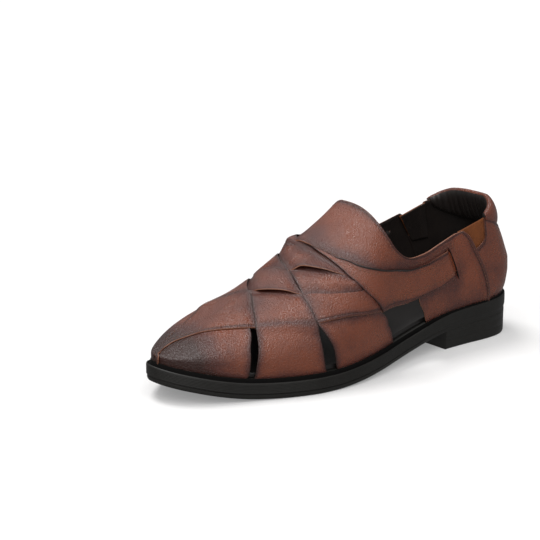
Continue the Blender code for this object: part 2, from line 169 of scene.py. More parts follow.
class Last:
    """The form that the shoe is made on, read as smooth sections."""

    PAD = 3                 # sections added past each end
    FINE = 4001             # rows of the table that turns stations into rows
    SLOPE_STEP = 0.6        # mm either side of a point, for the surface's slope along the foot
    PLACE_STEP = 0.012      # places either side of a point, for its slope round the foot
    TURNED_IN = 0.02        # share of a rib that the leather runs on down inside the sole
    TURN_PLACE = 0.02       # places by the feather line over which it turns in
    DROP = 60.0             # millimetres of height for a unit of share below the feather line
    ASIDE_STEP = 0.02       # rows either side of a point, for the feather line's direction

    def __init__(self, sections: Sequence[Section]) -> None:
        """Store the sections' columns, run on past both ends.

        Args:
            sections: the sections, from heel to toe.
        """
        self.tip = len(sections) - 1
        names = list(Section.__dataclass_fields__)
        raw = {name: np.array([getattr(section, name) for section in sections]) for name in names}
        self._columns = {name: self._padded(raw, name) for name in names}
        self._fine_rows = np.linspace(0.0, self.tip, self.FINE)
        self._fine_stations = self.read("station", self._fine_rows)

    def _padded(self, raw: dict[str, Array], name: str) -> Array:
        """A column run on past both ends; a width runs on into the other side's.

        Args:
            raw: every column by name.
            name: the column.

        Returns:
            The longer column.
        """
        swap = {"lateral": "medial", "medial": "lateral"}
        other = -raw[swap[name]] if name in swap else raw[name]
        before = other[self.PAD:0:-1]
        after = other[-2:-2 - self.PAD:-1]
        return np.concatenate([before, raw[name], after])

    def read(self, name: str, rows: Array) -> Array:
        """Smooth reading of a column.

        Args:
            name: the column.
            rows: fractional rows.

        Returns:
            The values there.
        """
        column = self._columns[name]
        at = np.asarray(rows, float) + self.PAD
        low = np.clip(np.floor(at).astype(int), 1, len(column) - 3)
        return spline(*(column[low + step] for step in (-1, 0, 1, 2)), at - low)

    def rows_at(self, stations: Array) -> Array:
        """Fractional rows of some stations."""
        return np.interp(stations, self._fine_stations, self._fine_rows)

    def under(self, rows: Array) -> Array:
        """Height of the sole's ground side."""
        return np.maximum(self.read("under", rows), 0.0)

    def feather_height(self, rows: Array) -> Array:
        """Height of the feather line."""
        return self.under(rows) + SOLE_THICKNESS + LIP

    def _ribs(self, rows: Array, sides: Array) -> tuple[Array, ...]:
        """Measures of some ribs.

        Args:
            rows: fractional rows.
            sides: LATERAL or MEDIAL for each.

        Returns:
            Heights of the foot, the belly and the crown, and the roundness.
        """
        foot = self.feather_height(rows)
        belly = foot + self.read("belly", rows)
        roundness = np.where(sides > 0, self.read("lateral_round", rows), self.read("medial_round", rows))
        return foot, belly, self.read("crown", rows), roundness

    def rib(self, rows: Array, shares: Array, sides: Array) -> Array:
        """Points of the upper's outer face, in mm.

        Args:
            rows: fractional rows.
            shares: 0 at the feather line, 1 at the crown.
            sides: LATERAL or MEDIAL for each.

        Returns:
            An array of points with a last axis of three.
        """
        width = np.where(sides > 0, self.read("lateral", rows), self.read("medial", rows))
        wide = width * (1 + self.read("swell", rows))
        foot, belly, crown, roundness = self._ribs(rows, sides)
        low_turn = np.clip(shares, 0.0, BELLY_SHARE) / BELLY_SHARE * math.pi / 2
        turn = np.clip((shares - BELLY_SHARE) / (1 - BELLY_SHARE), 0.0, 1.0) * math.pi / 2
        middle = self.read("crown_x", rows) * sides
        high_across = middle + (wide - middle) * np.maximum(np.cos(turn), 0.0) ** roundness
        high_height = belly + (crown - belly) * np.sin(turn) ** roundness
        below = shares < BELLY_SHARE
        across = np.where(below, width + (wide - width) * np.sin(low_turn), high_across)
        height = np.where(below, foot + (belly - foot) * (1 - np.cos(low_turn)), high_height)
        height = height + self.DROP * np.minimum(shares, 0.0)
        station = self.read("station", rows)
        lean = knots(BACK_CURVE, height) * np.maximum(1.0 - station / LEAN_REACH, 0.0)
        return np.stack([sides * across, HEEL_Y - station - lean, height], axis=-1)

    def share_at(self, rows: Array, heights: Array, sides: Array) -> Array:
        """Shares of ribs at heights above the floor.

        Args:
            rows: fractional rows.
            heights: the heights.
            sides: LATERAL or MEDIAL for each.

        Returns:
            The shares.
        """
        foot, belly, crown, roundness = self._ribs(rows, sides)
        low = np.clip((heights - foot) / (belly - foot), 0.0, 1.0)
        high = np.clip((heights - belly) / (crown - belly), 0.0, 1.0)
        low_share = np.arccos(1 - low) / (math.pi / 2) * BELLY_SHARE
        high_turn = np.arcsin(high ** (1 / roundness)) / (math.pi / 2)
        return np.where(heights < belly, low_share, BELLY_SHARE + (1 - BELLY_SHARE) * high_turn)

    def place_at(self, station: float, height: float, side: int) -> float:
        """Place of a point given by its station and height."""
        row = self.rows_at(np.array([station]))
        share = self.share_at(row, np.array([height]), np.array([side]))
        return side * (1.0 - float(share[0]))

    def lay(self, stations: Array, places: Array) -> Array:
        """Points of the last under pattern points."""
        sides = np.where(places >= 0, LATERAL, MEDIAL)
        turned_in = self.TURNED_IN * ease(1.0 - (1.0 - np.abs(places)) / self.TURN_PLACE)
        return self.rib(self.rows_at(stations), 1.0 - np.abs(places) - turned_in, sides)

    def outward(self, stations: Array, places: Array) -> Array:
        """Unit normals of the last, pointing away from the foot.

        Args:
            stations: stations of pattern points.
            places: their places.

        Returns:
            The normals.
        """
        first, last = self._fine_stations[0], self._fine_stations[-1]
        ahead = np.clip(stations + self.SLOPE_STEP, first, last)
        behind = np.clip(stations - self.SLOPE_STEP, first, last)
        along = self.lay(ahead, places) - self.lay(behind, places)
        held = np.clip(places, -1 + self.PLACE_STEP, 1 - self.PLACE_STEP)
        upper = self.lay(stations, held + self.PLACE_STEP)
        lower = self.lay(stations, held - self.PLACE_STEP)
        return unit(np.cross(along, upper - lower))

    def feather(self, rows: Array, sides: Array) -> Array:
        """Plan points of the feather line."""
        width = np.where(sides > 0, self.read("lateral", rows), self.read("medial", rows))
        return np.stack([sides * width, HEEL_Y - self.read("station", rows)], axis=-1)

    def beside(self, rows: Array, side: int, out: Array, heights: Array) -> Array:
        """Points beside the feather line, moved out square to it in plan.

        Args:
            rows: fractional rows.
            side: LATERAL or MEDIAL.
            out: distance out of the feather line.
            heights: their heights.

        Returns:
            An array of points with a last axis of three.
        """
        sides = np.full(np.shape(rows), side)
        run = self.feather(rows + self.ASIDE_STEP, sides) - self.feather(rows - self.ASIDE_STEP, sides)
        square = unit(np.stack([-run[..., 1], run[..., 0]], axis=-1) * side)
        plan = self.feather(rows, sides) + square * np.asarray(out)[..., None]
        return np.concatenate([plan, np.asarray(heights)[..., None]], axis=-1)


LAST = Last(SECTIONS)


# ---- pattern lines

def drawn(*points: tuple[float, float], steps: int = 8) -> Line:
    """A smooth pattern line through a few points.

    Args:
        points: (station, place) of each point.
        steps: samples between two points.

    Returns:
        The sampled line.
    """
    knot = np.array(points, float)
    if len(knot) == 2:
        return knot
    padded = np.concatenate([2 * knot[:1] - knot[1:2], knot, 2 * knot[-1:] - knot[-2:-1]])
    share = np.linspace(0.0, 1.0, steps, endpoint=False)[:, None]
    spans = [spline(*four, share) for four in zip(padded, padded[1:], padded[2:], padded[3:])]
    return np.concatenate([*spans, knot[-1:]])


def joined(*lines: Line) -> Line:
    """Lines run together, with a corner between each two."""
    return np.concatenate([lines[0]] + [line[1:] for line in lines[1:]])


def mirrored(line: Line) -> Line:
    """The same line on the other side of the foot, run the other way."""
    return line[::-1] * np.array([1.0, -1.0])


def clipped(line: Line, first: float, last: float) -> Line:
    """The part of a line between two stations.

    Args:
        line: a line whose stations only rise or only fall.
        first: station that the part runs from.
        last: station that it runs to.

    Returns:
        The part.
    """
    order = np.argsort(line[:, 0])
    stations, places = line[order, 0], line[order, 1]
    low, high = min(first, last), max(first, last)
    inside = stations[(stations > low) & (stations < high)]
    at = np.concatenate([[low], inside, [high]])
    cut = np.stack([at, np.interp(at, stations, places)], axis=-1)
    return cut if first < last else cut[::-1]


def past(line: Line, stations: Array, places: Array) -> Array:
    """Distance past a line: above 0 on its left, which is towards the heel or the crown.

    Args:
        line: the pattern line.
        stations: of the points.
        places: of the points.

    Returns:
        Signed distances in millimetres of leather, about.
    """
    scale = np.array([1.0, PLACE_SCALE])
    flat = np.stack([stations, places], axis=-1) * scale
    start, end = line[:-1] * scale, line[1:] * scale
    run = end - start
    size = np.maximum((run ** 2).sum(-1), TINY)
    away = flat[..., None, :] - start
    share = np.clip((away * run).sum(-1) / size, 0.0, 1.0)
    gap = away - share[..., None] * run
    far = np.linalg.norm(gap, axis=-1)
    nearest = far.argmin(-1)
    turn = run[..., 0] * away[..., 1] - run[..., 1] * away[..., 0]
    turned, distance = (np.take_along_axis(values, nearest[..., None], -1)[..., 0]
                        for values in (turn, far))
    return distance * np.where(turned >= 0, 1.0, -1.0)


# Front edge of the first strap, from where it is tucked in on the inner side to the outer feather line.
B1_TOP = drawn((165, -0.57), (180, -0.48), (190, -0.41), (201, -0.31), (209, -0.20), (215.5, -0.10),
               (219.5, 0.0), (223, 0.08), (230, 0.21), (237.5, 0.40))
B1 = joined(B1_TOP, drawn((237.5, 0.40), (241, 0.57), (244.3, 0.78), (246, 1.0)))
# Rear edge of the first strap and front edge of the second, one line down to the slot between them.
B2_TOP = drawn((169, -0.435), (177, -0.31), (183.5, -0.20), (188.5, -0.09), (192, 0.02), (195, 0.12),
               (198, 0.21), (200, 0.30), (201, 0.40), (201.5, 0.56))
B2_TOEWARD = joined(B2_TOP, drawn((201.5, 0.56), (202, 0.66), (201, 0.80), (198, 1.0)))
B2_HEELWARD = joined(B2_TOP, drawn((201.5, 0.56), (197.5, 0.67), (193, 0.80), (190, 1.0)))
# Rear edge of the second strap, down the front of the side window.
B3_TOP = drawn((158, -0.30), (165, -0.22), (171, -0.12), (173, 0.0), (173.5, 0.10), (172.5, 0.24),
               (170, 0.38), (166.8, 0.48), (162, 0.587), (155.5, 0.687), (149, 0.772))
B3 = joined(B3_TOP, drawn((149, 0.772), (142, 0.816), (137, 0.88), (133, 1.0)))
# The same edge of the inner straps, which lies nearer the toe where it crosses the crown.
S2_TOP = drawn((169, -0.44), (172, -0.405), (178.5, -0.32), (184, -0.24), (186.5, -0.20), (189, -0.157),
               (192.5, -0.122), (195, -0.09), (196.6, -0.03), (197.6, 0.05), (198.3, 0.14), (199, 0.22),
               (200, 0.30), (201, 0.40), (201.5, 0.56))
S2_TOEWARD = joined(S2_TOP, drawn((201.5, 0.56), (202, 0.66), (201, 0.80), (198, 1.0)))
S2_HEELWARD = joined(S2_TOP, drawn((201.5, 0.56), (197.5, 0.67), (193, 0.80), (190, 1.0)))
L2, L3 = mirrored(B1), mirrored(S2_HEELWARD)
# Rear edge of the inner middle strap, which shows for a moment on the crown before the saddle covers it.
L4 = joined(drawn((133, -1.0), (137, -0.88), (142, -0.816), (149, -0.772)),
            drawn((149, -0.772), (156, -0.687), (163, -0.587), (168, -0.48), (171.5, -0.38), (175, -0.25),
                  (177, -0.15), (177.3, -0.06), (176.6, 0.01), (174, 0.08), (170, 0.15), (163, 0.25)))
# Lower edge of the toe's top panel and of its arm, back to the slit that takes the side strap.
L1_FRONT = drawn((293.3, 0.105), (291, 0.05), (287.6, 0.02), (281, 0.025), (273.8, 0.07), (264, 0.14),
                 (255, 0.23), (246, 0.315), (238, 0.37), (220, 0.46), (203, 0.55), (192, 0.59),
                 (178, 0.64), (162, 0.715), (149, 0.772))
# The same edge further back, as the lower edge of the side strap.
L1_REAR = drawn((149, 0.772), (129, 0.80), (110, 0.81), (96, 0.815), (81, 0.82), (67, 0.808))
# Upper edge of the side strap, its end over the weave, and the slit that it is let into.
STRAP_TOP = drawn((174.4, 0.095), (173.5, 0.15), (172.2, 0.21), (170, 0.279), (166, 0.35), (161, 0.439),
                  (152, 0.54), (140, 0.63), (123, 0.695), (104, 0.712), (91, 0.710), (76, 0.703))
STRAP_FRONT = drawn((149, 0.772), (156, 0.687), (163, 0.587), (168, 0.48), (170.3, 0.43), (172.1, 0.36),
                    (173.4, 0.30), (174.4, 0.238), (175.2, 0.178), (175.4, 0.13), (175.0, 0.085))
SLIT = drawn((67, 0.808), (70, 0.768), (74, 0.723), (76, 0.703))
# Rear edge of the quarter, sewn over the counter.
REAR_SEAM = drawn((31.5, 1.0), (33, 0.96), (37, 0.884), (40, 0.84), (44, 0.792), (49, 0.743),
                  (55, 0.69), (64, 0.655))


def height_line(side: int, *points: tuple[float, float]) -> Line:
    """A pattern line through points given by station and height above the floor."""
    return np.array([(station, LAST.place_at(station, height, side))
                     for station, height in drawn(*points)])


# ---- materials

def linear_colour(hex_colour: str) -> Colour:
    """Linear colour of an sRGB one.

    Args:
        hex_colour: the colour, written as #RRGGBB.

    Returns:
        Its red, green, blue and alpha.
    """
    channels = [int(hex_colour[start:start + 2], 16) / 255 for start in (1, 3, 5)]
    light = [c / 12.92 if c <= 0.04045 else ((c + 0.055) / 1.055) ** 2.4 for c in channels]
    return (*light, 1.0)


def connect(tree: Tree, node: bpy.types.Node, inputs: dict[str | int, object]) -> None:
    """Give a node its inputs.

    Args:
        tree: the node tree.
        node: the node.
        inputs: a value, or the socket to link, for each input's name or index.
    """
    for name, value in inputs.items():
        if isinstance(value, Socket):
            tree.links.new(value, node.inputs[name])
        else:
            node.inputs[name].default_value = value


def add_node(tree: Tree, kind: str, inputs: dict[str | int, object] | None = None,
             output: str | int = 0, **settings: object) -> Socket:
    """Add a shader node with its settings and links.

    Args:
        tree: the node tree.
        kind: the node's type, without its ShaderNode prefix.
        inputs: values or sockets for its inputs.
        output: name or index of the output that is used.
        settings: attributes of the node.

    Returns:
        That output.
    """
    node = tree.nodes.new("ShaderNode" + kind)
    for name, value in settings.items():
        setattr(node, name, value)
    connect(tree, node, inputs or {})
    return node.outputs[output]


def new_material(name: str) -> tuple[Material, Tree, bpy.types.Node, Socket]:
    """Start a material.

    Args:
        name: its name.

    Returns:
        The material, its tree, its principled shader and the object coordinates.
    """
    material = bpy.data.materials.new(name)
    material.use_nodes = True
    tree = material.node_tree
    place = add_node(tree, "TexCoord", output="Object")
    return material, tree, tree.nodes["Principled BSDF"], place


@dataclass(frozen=True)
class Grain:
    """A noise pattern: the size of its features in mm, its detail and its roughness."""

    size: float
    detail: float = 3.0
    rough: float = 0.55

    def inputs(self, place: Socket) -> dict[str | int, object]:
        """Inputs of the noise node that draws it on some coordinates."""
        return {"Vector": place, "Scale": 1 / (self.size * MM), "Detail": self.detail,
                "Roughness": self.rough}


@dataclass(frozen=True)
class Leather:
    """Full-grain cowhide, pigment-dyed, then waxed and burnished darker by hand towards its edges.

    The dye is orange-brown where the hand has rubbed least, and nearly black at the burnished edges; the
    same dark ramp also paints shade into stitched grooves and along the gaps beside inked edges. The wax
    gives it a soft, broad shine that breaks up on the pebbles of the grain.
    """

    name: str = "burnished_cowhide"
    centre: str = "#653320"
    shoulder: str = "#432019"
    edge: str = "#28110B"
    rim: str = "#8A5A42"
    shoulder_at: float = 0.45  # burnish at which the colour is the shoulder's
    patches: Grain = Grain(20.0, 4.0, 0.6)  # where the hand rubbed more or less
    patchiness: float = 0.9  # how much they change the burnish
    flecks: Grain = Grain(1.7, 2.0, 0.5)
    fleckiness: float = 0.3
    bareness: float = 0.6   # how pale a worn rim is, less and more where it is flecked
    roughness: float = 0.29
    uneven_polish: float = 0.16  # how much the patches change the roughness
    bare_roughness: float = 0.25  # how much rougher a bare rim is
    shine: float = 0.45
    pebble: float = 0.95    # size of a pebble of the grain, in mm
    pores: Grain = Grain(0.5, 2.0)
    pebble_depth: float = 0.55  # in mm
    pebble_strength: float = 0.75
    swells: Grain = Grain(9.0, 2.0)
    swell_depth: float = 0.4  # in mm
    swell_strength: float = 0.3

    def material(self) -> Material:
        """Build it; `burnish_and_shade` says how dark it is, burnished or painted shade, and `rim` where it
        is bare.

        Returns:
            The material.
        """
        material, tree, shader, place = new_material(self.name)
        burnish_and_shade = add_node(tree, "Attribute", output="Fac", attribute_name="burnish_and_shade")
        rim = add_node(tree, "Attribute", output="Fac", attribute_name="rim")
        patches, flecks, pores, swells = (
            add_node(tree, "TexNoise", grain.inputs(place))
            for grain in (self.patches, self.flecks, self.pores, self.swells))
        # burnish and painted shade, made uneven by the patches and the flecks, pick the colour
        patched = add_node(tree, "Math", {0: patches, 1: self.patchiness, 2: burnish_and_shade},
                           operation="MULTIPLY_ADD")
        flecked = add_node(tree, "Math", {0: flecks, 1: self.fleckiness, 2: patched},
                           operation="MULTIPLY_ADD")
        wear = add_node(tree, "Math", {0: flecked, 1: 0.5 * (self.patchiness + self.fleckiness)},
                        operation="SUBTRACT", use_clamp=True)
        dye = add_node(tree, "ValToRGB", {"Fac": wear})
        stops = dye.node.color_ramp.elements
        stops[0].color = linear_colour(self.centre)
        stops[1].color = linear_colour(self.edge)
        stops.new(self.shoulder_at).color = linear_colour(self.shoulder)
        pale = add_node(tree, "Math", {0: flecks, 1: self.bareness, 2: self.bareness},
                        operation="MULTIPLY_ADD")
        bare = add_node(tree, "Math", {0: rim, 1: pale}, operation="MULTIPLY", use_clamp=True)
        colour = add_node(tree, "Mix", {0: bare, 6: dye, 7: linear_colour(self.rim)}, output=2,
                          data_type="RGBA")
        # the shine is uneven with the patches, and dull on a bare rim
        smoothest = self.roughness - 0.5 * self.uneven_polish
        polish = add_node(tree, "Math", {0: patches, 1: self.uneven_polish, 2: smoothest},
                          operation="MULTIPLY_ADD")
        rough = add_node(tree, "Math", {0: rim, 1: self.bare_roughness, 2: polish},
                         operation="MULTIPLY_ADD")
        # pebbles with fine pores, over the slow swell of a hide
        pebbles = add_node(tree, "TexVoronoi", {"Vector": place, "Scale": 1 / (self.pebble * MM)},
                           feature="SMOOTH_F1")
        relief = add_node(tree, "Math", {0: pores, 1: pebbles}, operation="SUBTRACT")
        bump = add_node(tree, "Bump", {"Height": relief, "Strength": self.pebble_strength,
                                       "Distance": self.pebble_depth * MM})
        swell = add_node(tree, "Bump", {"Height": swells, "Strength": self.swell_strength,
                                        "Distance": self.swell_depth * MM, "Normal": bump})
        connect(tree, shader, {"Base Color": colour, "Roughness": rough, "Specular IOR Level": self.shine,
                               "Normal": swell})
        return material


@dataclass(frozen=True)
class Plain:
    """A material of one colour with fine unevenness: rubber, thread, lining, cut leather."""

    name: str
    colour: str
    second: str
    roughness: float
    grain: float            # size of its unevenness in mm
    relief: float = 0.05    # depth of it in mm
    shine: float = 0.5

    PATCH = 12.0            # how many grains wide a patch of the second colour is
    PATCH_DETAIL, SPECK_DETAIL, ROUGH = 4.0, 3.0, 0.6
    CONTRAST = 1.6          # how sharply the patches end
    UNEVEN_POLISH = 0.16
    STRENGTH = 0.6

    def material(self) -> Material:
        """Build it.

        Returns:
            The material.
        """
        material, tree, shader, place = new_material(self.name)
        coarse = Grain(self.grain * self.PATCH, self.PATCH_DETAIL, self.ROUGH)
        fine = Grain(self.grain, self.SPECK_DETAIL, self.ROUGH)
        patches, specks = (add_node(tree, "TexNoise", grain.inputs(place)) for grain in (coarse, fine))
        share = add_node(tree, "Math", {0: patches, 1: self.CONTRAST, 2: 0.5 * (1.0 - self.CONTRAST)},
                         operation="MULTIPLY_ADD", use_clamp=True)
        colour = add_node(tree, "Mix", {0: share, 6: linear_colour(self.colour),
                                        7: linear_colour(self.second)}, output=2, data_type="RGBA")
        smoothest = self.roughness - 0.5 * self.UNEVEN_POLISH
        rough = add_node(tree, "Math", {0: specks, 1: self.UNEVEN_POLISH, 2: smoothest},
                         operation="MULTIPLY_ADD")
        bump = add_node(tree, "Bump", {"Height": specks, "Strength": self.STRENGTH,
                                       "Distance": self.relief * MM})
        connect(tree, shader, {"Base Color": colour, "Roughness": rough, "Specular IOR Level": self.shine,
                               "Normal": bump})
        return material


# ---- meshes

GRADE = (0.0, 0.05, 0.15, 0.32, 0.56, 0.85, 1.35, 1.8, 2.2, 2.6, 3.1)  # grid lines by an edge, in mm
GRADE_SHARE = 0.42          # most of a panel's width that they take
GROOVE_AT, GROOVE_WIDTH, GROOVE_DEPTH = 2.2, 0.42, 0.22  # the groove of a stitched fold, from its edge
LINING, CUT = 1, 2          # material indices of a panel's flesh side and of its cut edges


class Edge(Enum):
    """How an edge of a panel is finished: its radius, and how much of its rim is bare."""

    CUT = (0.5, 1.0)
    DARK = (0.5, 0.0)
    FOLDED = (0.85, 0.8)
    TUCKED = (0.0, 0.0)
    WELDED = (-1.0, 0.0)

    @property
    def radius(self) -> float:
        """Radius that the edge is rounded to, in mm."""
        return self.value[0]

    @property
    def bare(self) -> float:
        """How pale its rim is."""
        return self.value[1]


def stand(name: str, data: bpy.types.ID) -> Object:
    """Put a mesh, a light or a camera in the scene.

    Args:
        name: name of the object.
        data: what it shows.

    Returns:
        The object.
    """
    thing = bpy.data.objects.new(name, data)
    bpy.context.scene.collection.objects.link(thing)
    return thing


class Mesh:
    """A mesh being built, in millimetres."""

    def __init__(self) -> None:
        """Start empty, with the two values that the leather reads."""
        self.data = bmesh.new()
        self.burnish_and_shade = self.data.verts.layers.float.new("burnish_and_shade")
        self.rim = self.data.verts.layers.float.new("rim")

    def add_grid(self, points: Array, outward: Array | None = None, burnish_and_shade: Array | float = 0.0,
                 rim: Array | float = 0.0, material: int = 0) -> list[bmesh.types.BMFace]:
        """Add a grid of quads.

        Args:
            points: array of rows, columns and coordinates.
            outward: directions that the faces look in, or None if the grid's own order is right.
            burnish_and_shade: darkness of each point, from burnish and from painted shade.
            rim: value of each point.
            material: material index.

        Returns:
            The faces.
        """
        rows, columns = points.shape[:2]
        made = bmesh.ops.create_grid(self.data, x_segments=columns - 1, y_segments=rows - 1, size=1.0)
        shades = np.broadcast_to(burnish_and_shade, (rows, columns)).ravel()
        rims = np.broadcast_to(rim, (rows, columns)).ravel()
        for vert, place, shade, bare in zip(made["verts"], points.reshape(-1, 3), shades, rims):
            vert.co = place
            vert[self.burnish_and_shade] = shade
            vert[self.rim] = bare
        faces = list({face for vert in made["verts"] for face in vert.link_faces})
        for face in faces:
            face.material_index = material
        if outward is not None:
            across = np.cross(np.gradient(points, axis=1), np.gradient(points, axis=0))
            if (across * outward).sum() < 0:
                bmesh.ops.reverse_faces(self.data, faces=faces)
        return faces

    def weld(self, distance: float = 0.01) -> None:
        """Merge points nearer than a distance in mm."""
        bmesh.ops.remove_doubles(self.data, verts=self.data.verts, dist=distance)

    def finish(self, name: str, *materials: Material, wall: float = 0.0,
               sharp: float = 50.0) -> Object:
        """Turn it into an object of the frame.

        Args:
            name: name of the piece.
            materials: its materials, in the order of the material indices.
            wall: thickness given to an open sheet, in mm; 0 for none.
            sharp: edges sharper than this many degrees stay sharp.

        Returns:
            The object.
        """
        bmesh.ops.scale(self.data, vec=(MM, MM, MM), verts=self.data.verts)
        mesh = bpy.data.meshes.new(name)
        self.data.to_mesh(mesh)
        self.data.free()
        mesh.shade_smooth()
        mesh.set_sharp_from_angle(angle=math.radians(sharp))
        for material in materials:
            mesh.materials.append(material)
        thing = stand(name, mesh)
        if wall:
            modifier = thing.modifiers.new("wall", "SOLIDIFY")
            modifier.thickness = wall * MM
            modifier.offset = -1.0
            modifier.use_quality_normals = True
            modifier.material_offset = LINING
            modifier.material_offset_rim = CUT
        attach(thing, "root")
        return thing


def read_line(line: Line, share: Array) -> Array:
    """Points at some shares of a line's length.

    Args:
        line: the line.
        share: the shares.

    Returns:
        The points, one row each.
    """
    size = np.linalg.norm(np.diff(line * (1.0, PLACE_SCALE), axis=0), axis=1)
    run = np.concatenate([[0.0], np.cumsum(size)])
    run /= run[-1]
    return np.stack([np.interp(share, run, line[:, 0]), np.interp(share, run, line[:, 1])], axis=-1)


def ends(low: Line, high: Line) -> tuple[Line, Line]:
    """Straight lines between the starts and between the ends of two lines."""
    return np.array([low[0], high[0]]), np.array([low[-1], high[-1]])


def beside_line(line: Line, distance: float) -> Line:
    """A line moved to its left.

    Args:
        line: the line.
        distance: how far, in mm of leather, about; below 0 is to its right.

    Returns:
        The moved line.
    """
    scale = np.array([1.0, PLACE_SCALE])
    flat = line * scale
    run = unit(np.gradient(flat, axis=0))
    left = np.stack([-run[:, 1], run[:, 0]], axis=-1)
    return (flat + left * distance) / scale


def graded(count: int, length: Array, first: bool, last: bool) -> Array:
    """Shares of some lengths, close together where an edge has to turn.

    Args:
        count: even steps in the middle.
        length: the lengths.
        first: whether the start is an edge that turns.
        last: whether the end is.

    Returns:
        An array with one row for each length.
    """
    squeeze = np.minimum(1.0, GRADE_SHARE * length / GRADE[-1])
    reach = np.array(GRADE)[None, :] * (squeeze / length)[:, None]
    low = reach[:, -1:] if first else np.zeros((len(length), 1))
    high = 1 - reach[:, -1:] if last else np.ones((len(length), 1))
    middle = low + (high - low) * np.linspace(0, 1, count + 1)[None, :]
    parts = [reach[:, :-1]] if first else []
    parts.append(middle)
    if last:
        parts.append(1 - reach[:, -2::-1])
    return np.concatenate(parts, axis=1)


class Vamp:
    """Surface of the last in pattern coordinates, on either side of the foot."""

    def __init__(self, side: int = LATERAL) -> None:
        """Patterns drawn for the outer side are laid on this side."""
        self.side = side

    def point(self, stations: Array, places: Array) -> Array:
        """Points of the last."""
        return LAST.lay(stations, places * self.side)

    def outward(self, stations: Array, places: Array) -> Array:
        """Unit normals there."""
        return LAST.outward(stations, places * self.side)


class Heel:
    """Surface of the last round the back of the heel: signed rows and shares of a rib."""

    ROW_STEP, SHARE_STEP = 0.05, 0.01  # steps that its normals are read from

    def point(self, rows: Array, shares: Array) -> Array:
        """Points of the last; rows below 0 are on the inner side."""
        return LAST.rib(np.abs(rows), shares, np.where(rows >= 0, LATERAL, MEDIAL))

    def outward(self, rows: Array, shares: Array) -> Array:
        """Unit normals of the last.

        Args:
            rows: signed rows of the points.
            shares: their shares of a rib.

        Returns:
            The normals.
        """
        along = self.point(rows + self.ROW_STEP, shares) - self.point(rows - self.ROW_STEP, shares)
        held = np.clip(shares, self.SHARE_STEP, 1 - self.SHARE_STEP)
        up = self.point(rows, held + self.SHARE_STEP) - self.point(rows, held - self.SHARE_STEP)
        return unit(np.cross(up, along))


def level(height: float) -> Rule:
    """A rule that gives one height everywhere."""
    return lambda stations, places: np.full(np.shape(stations), height)


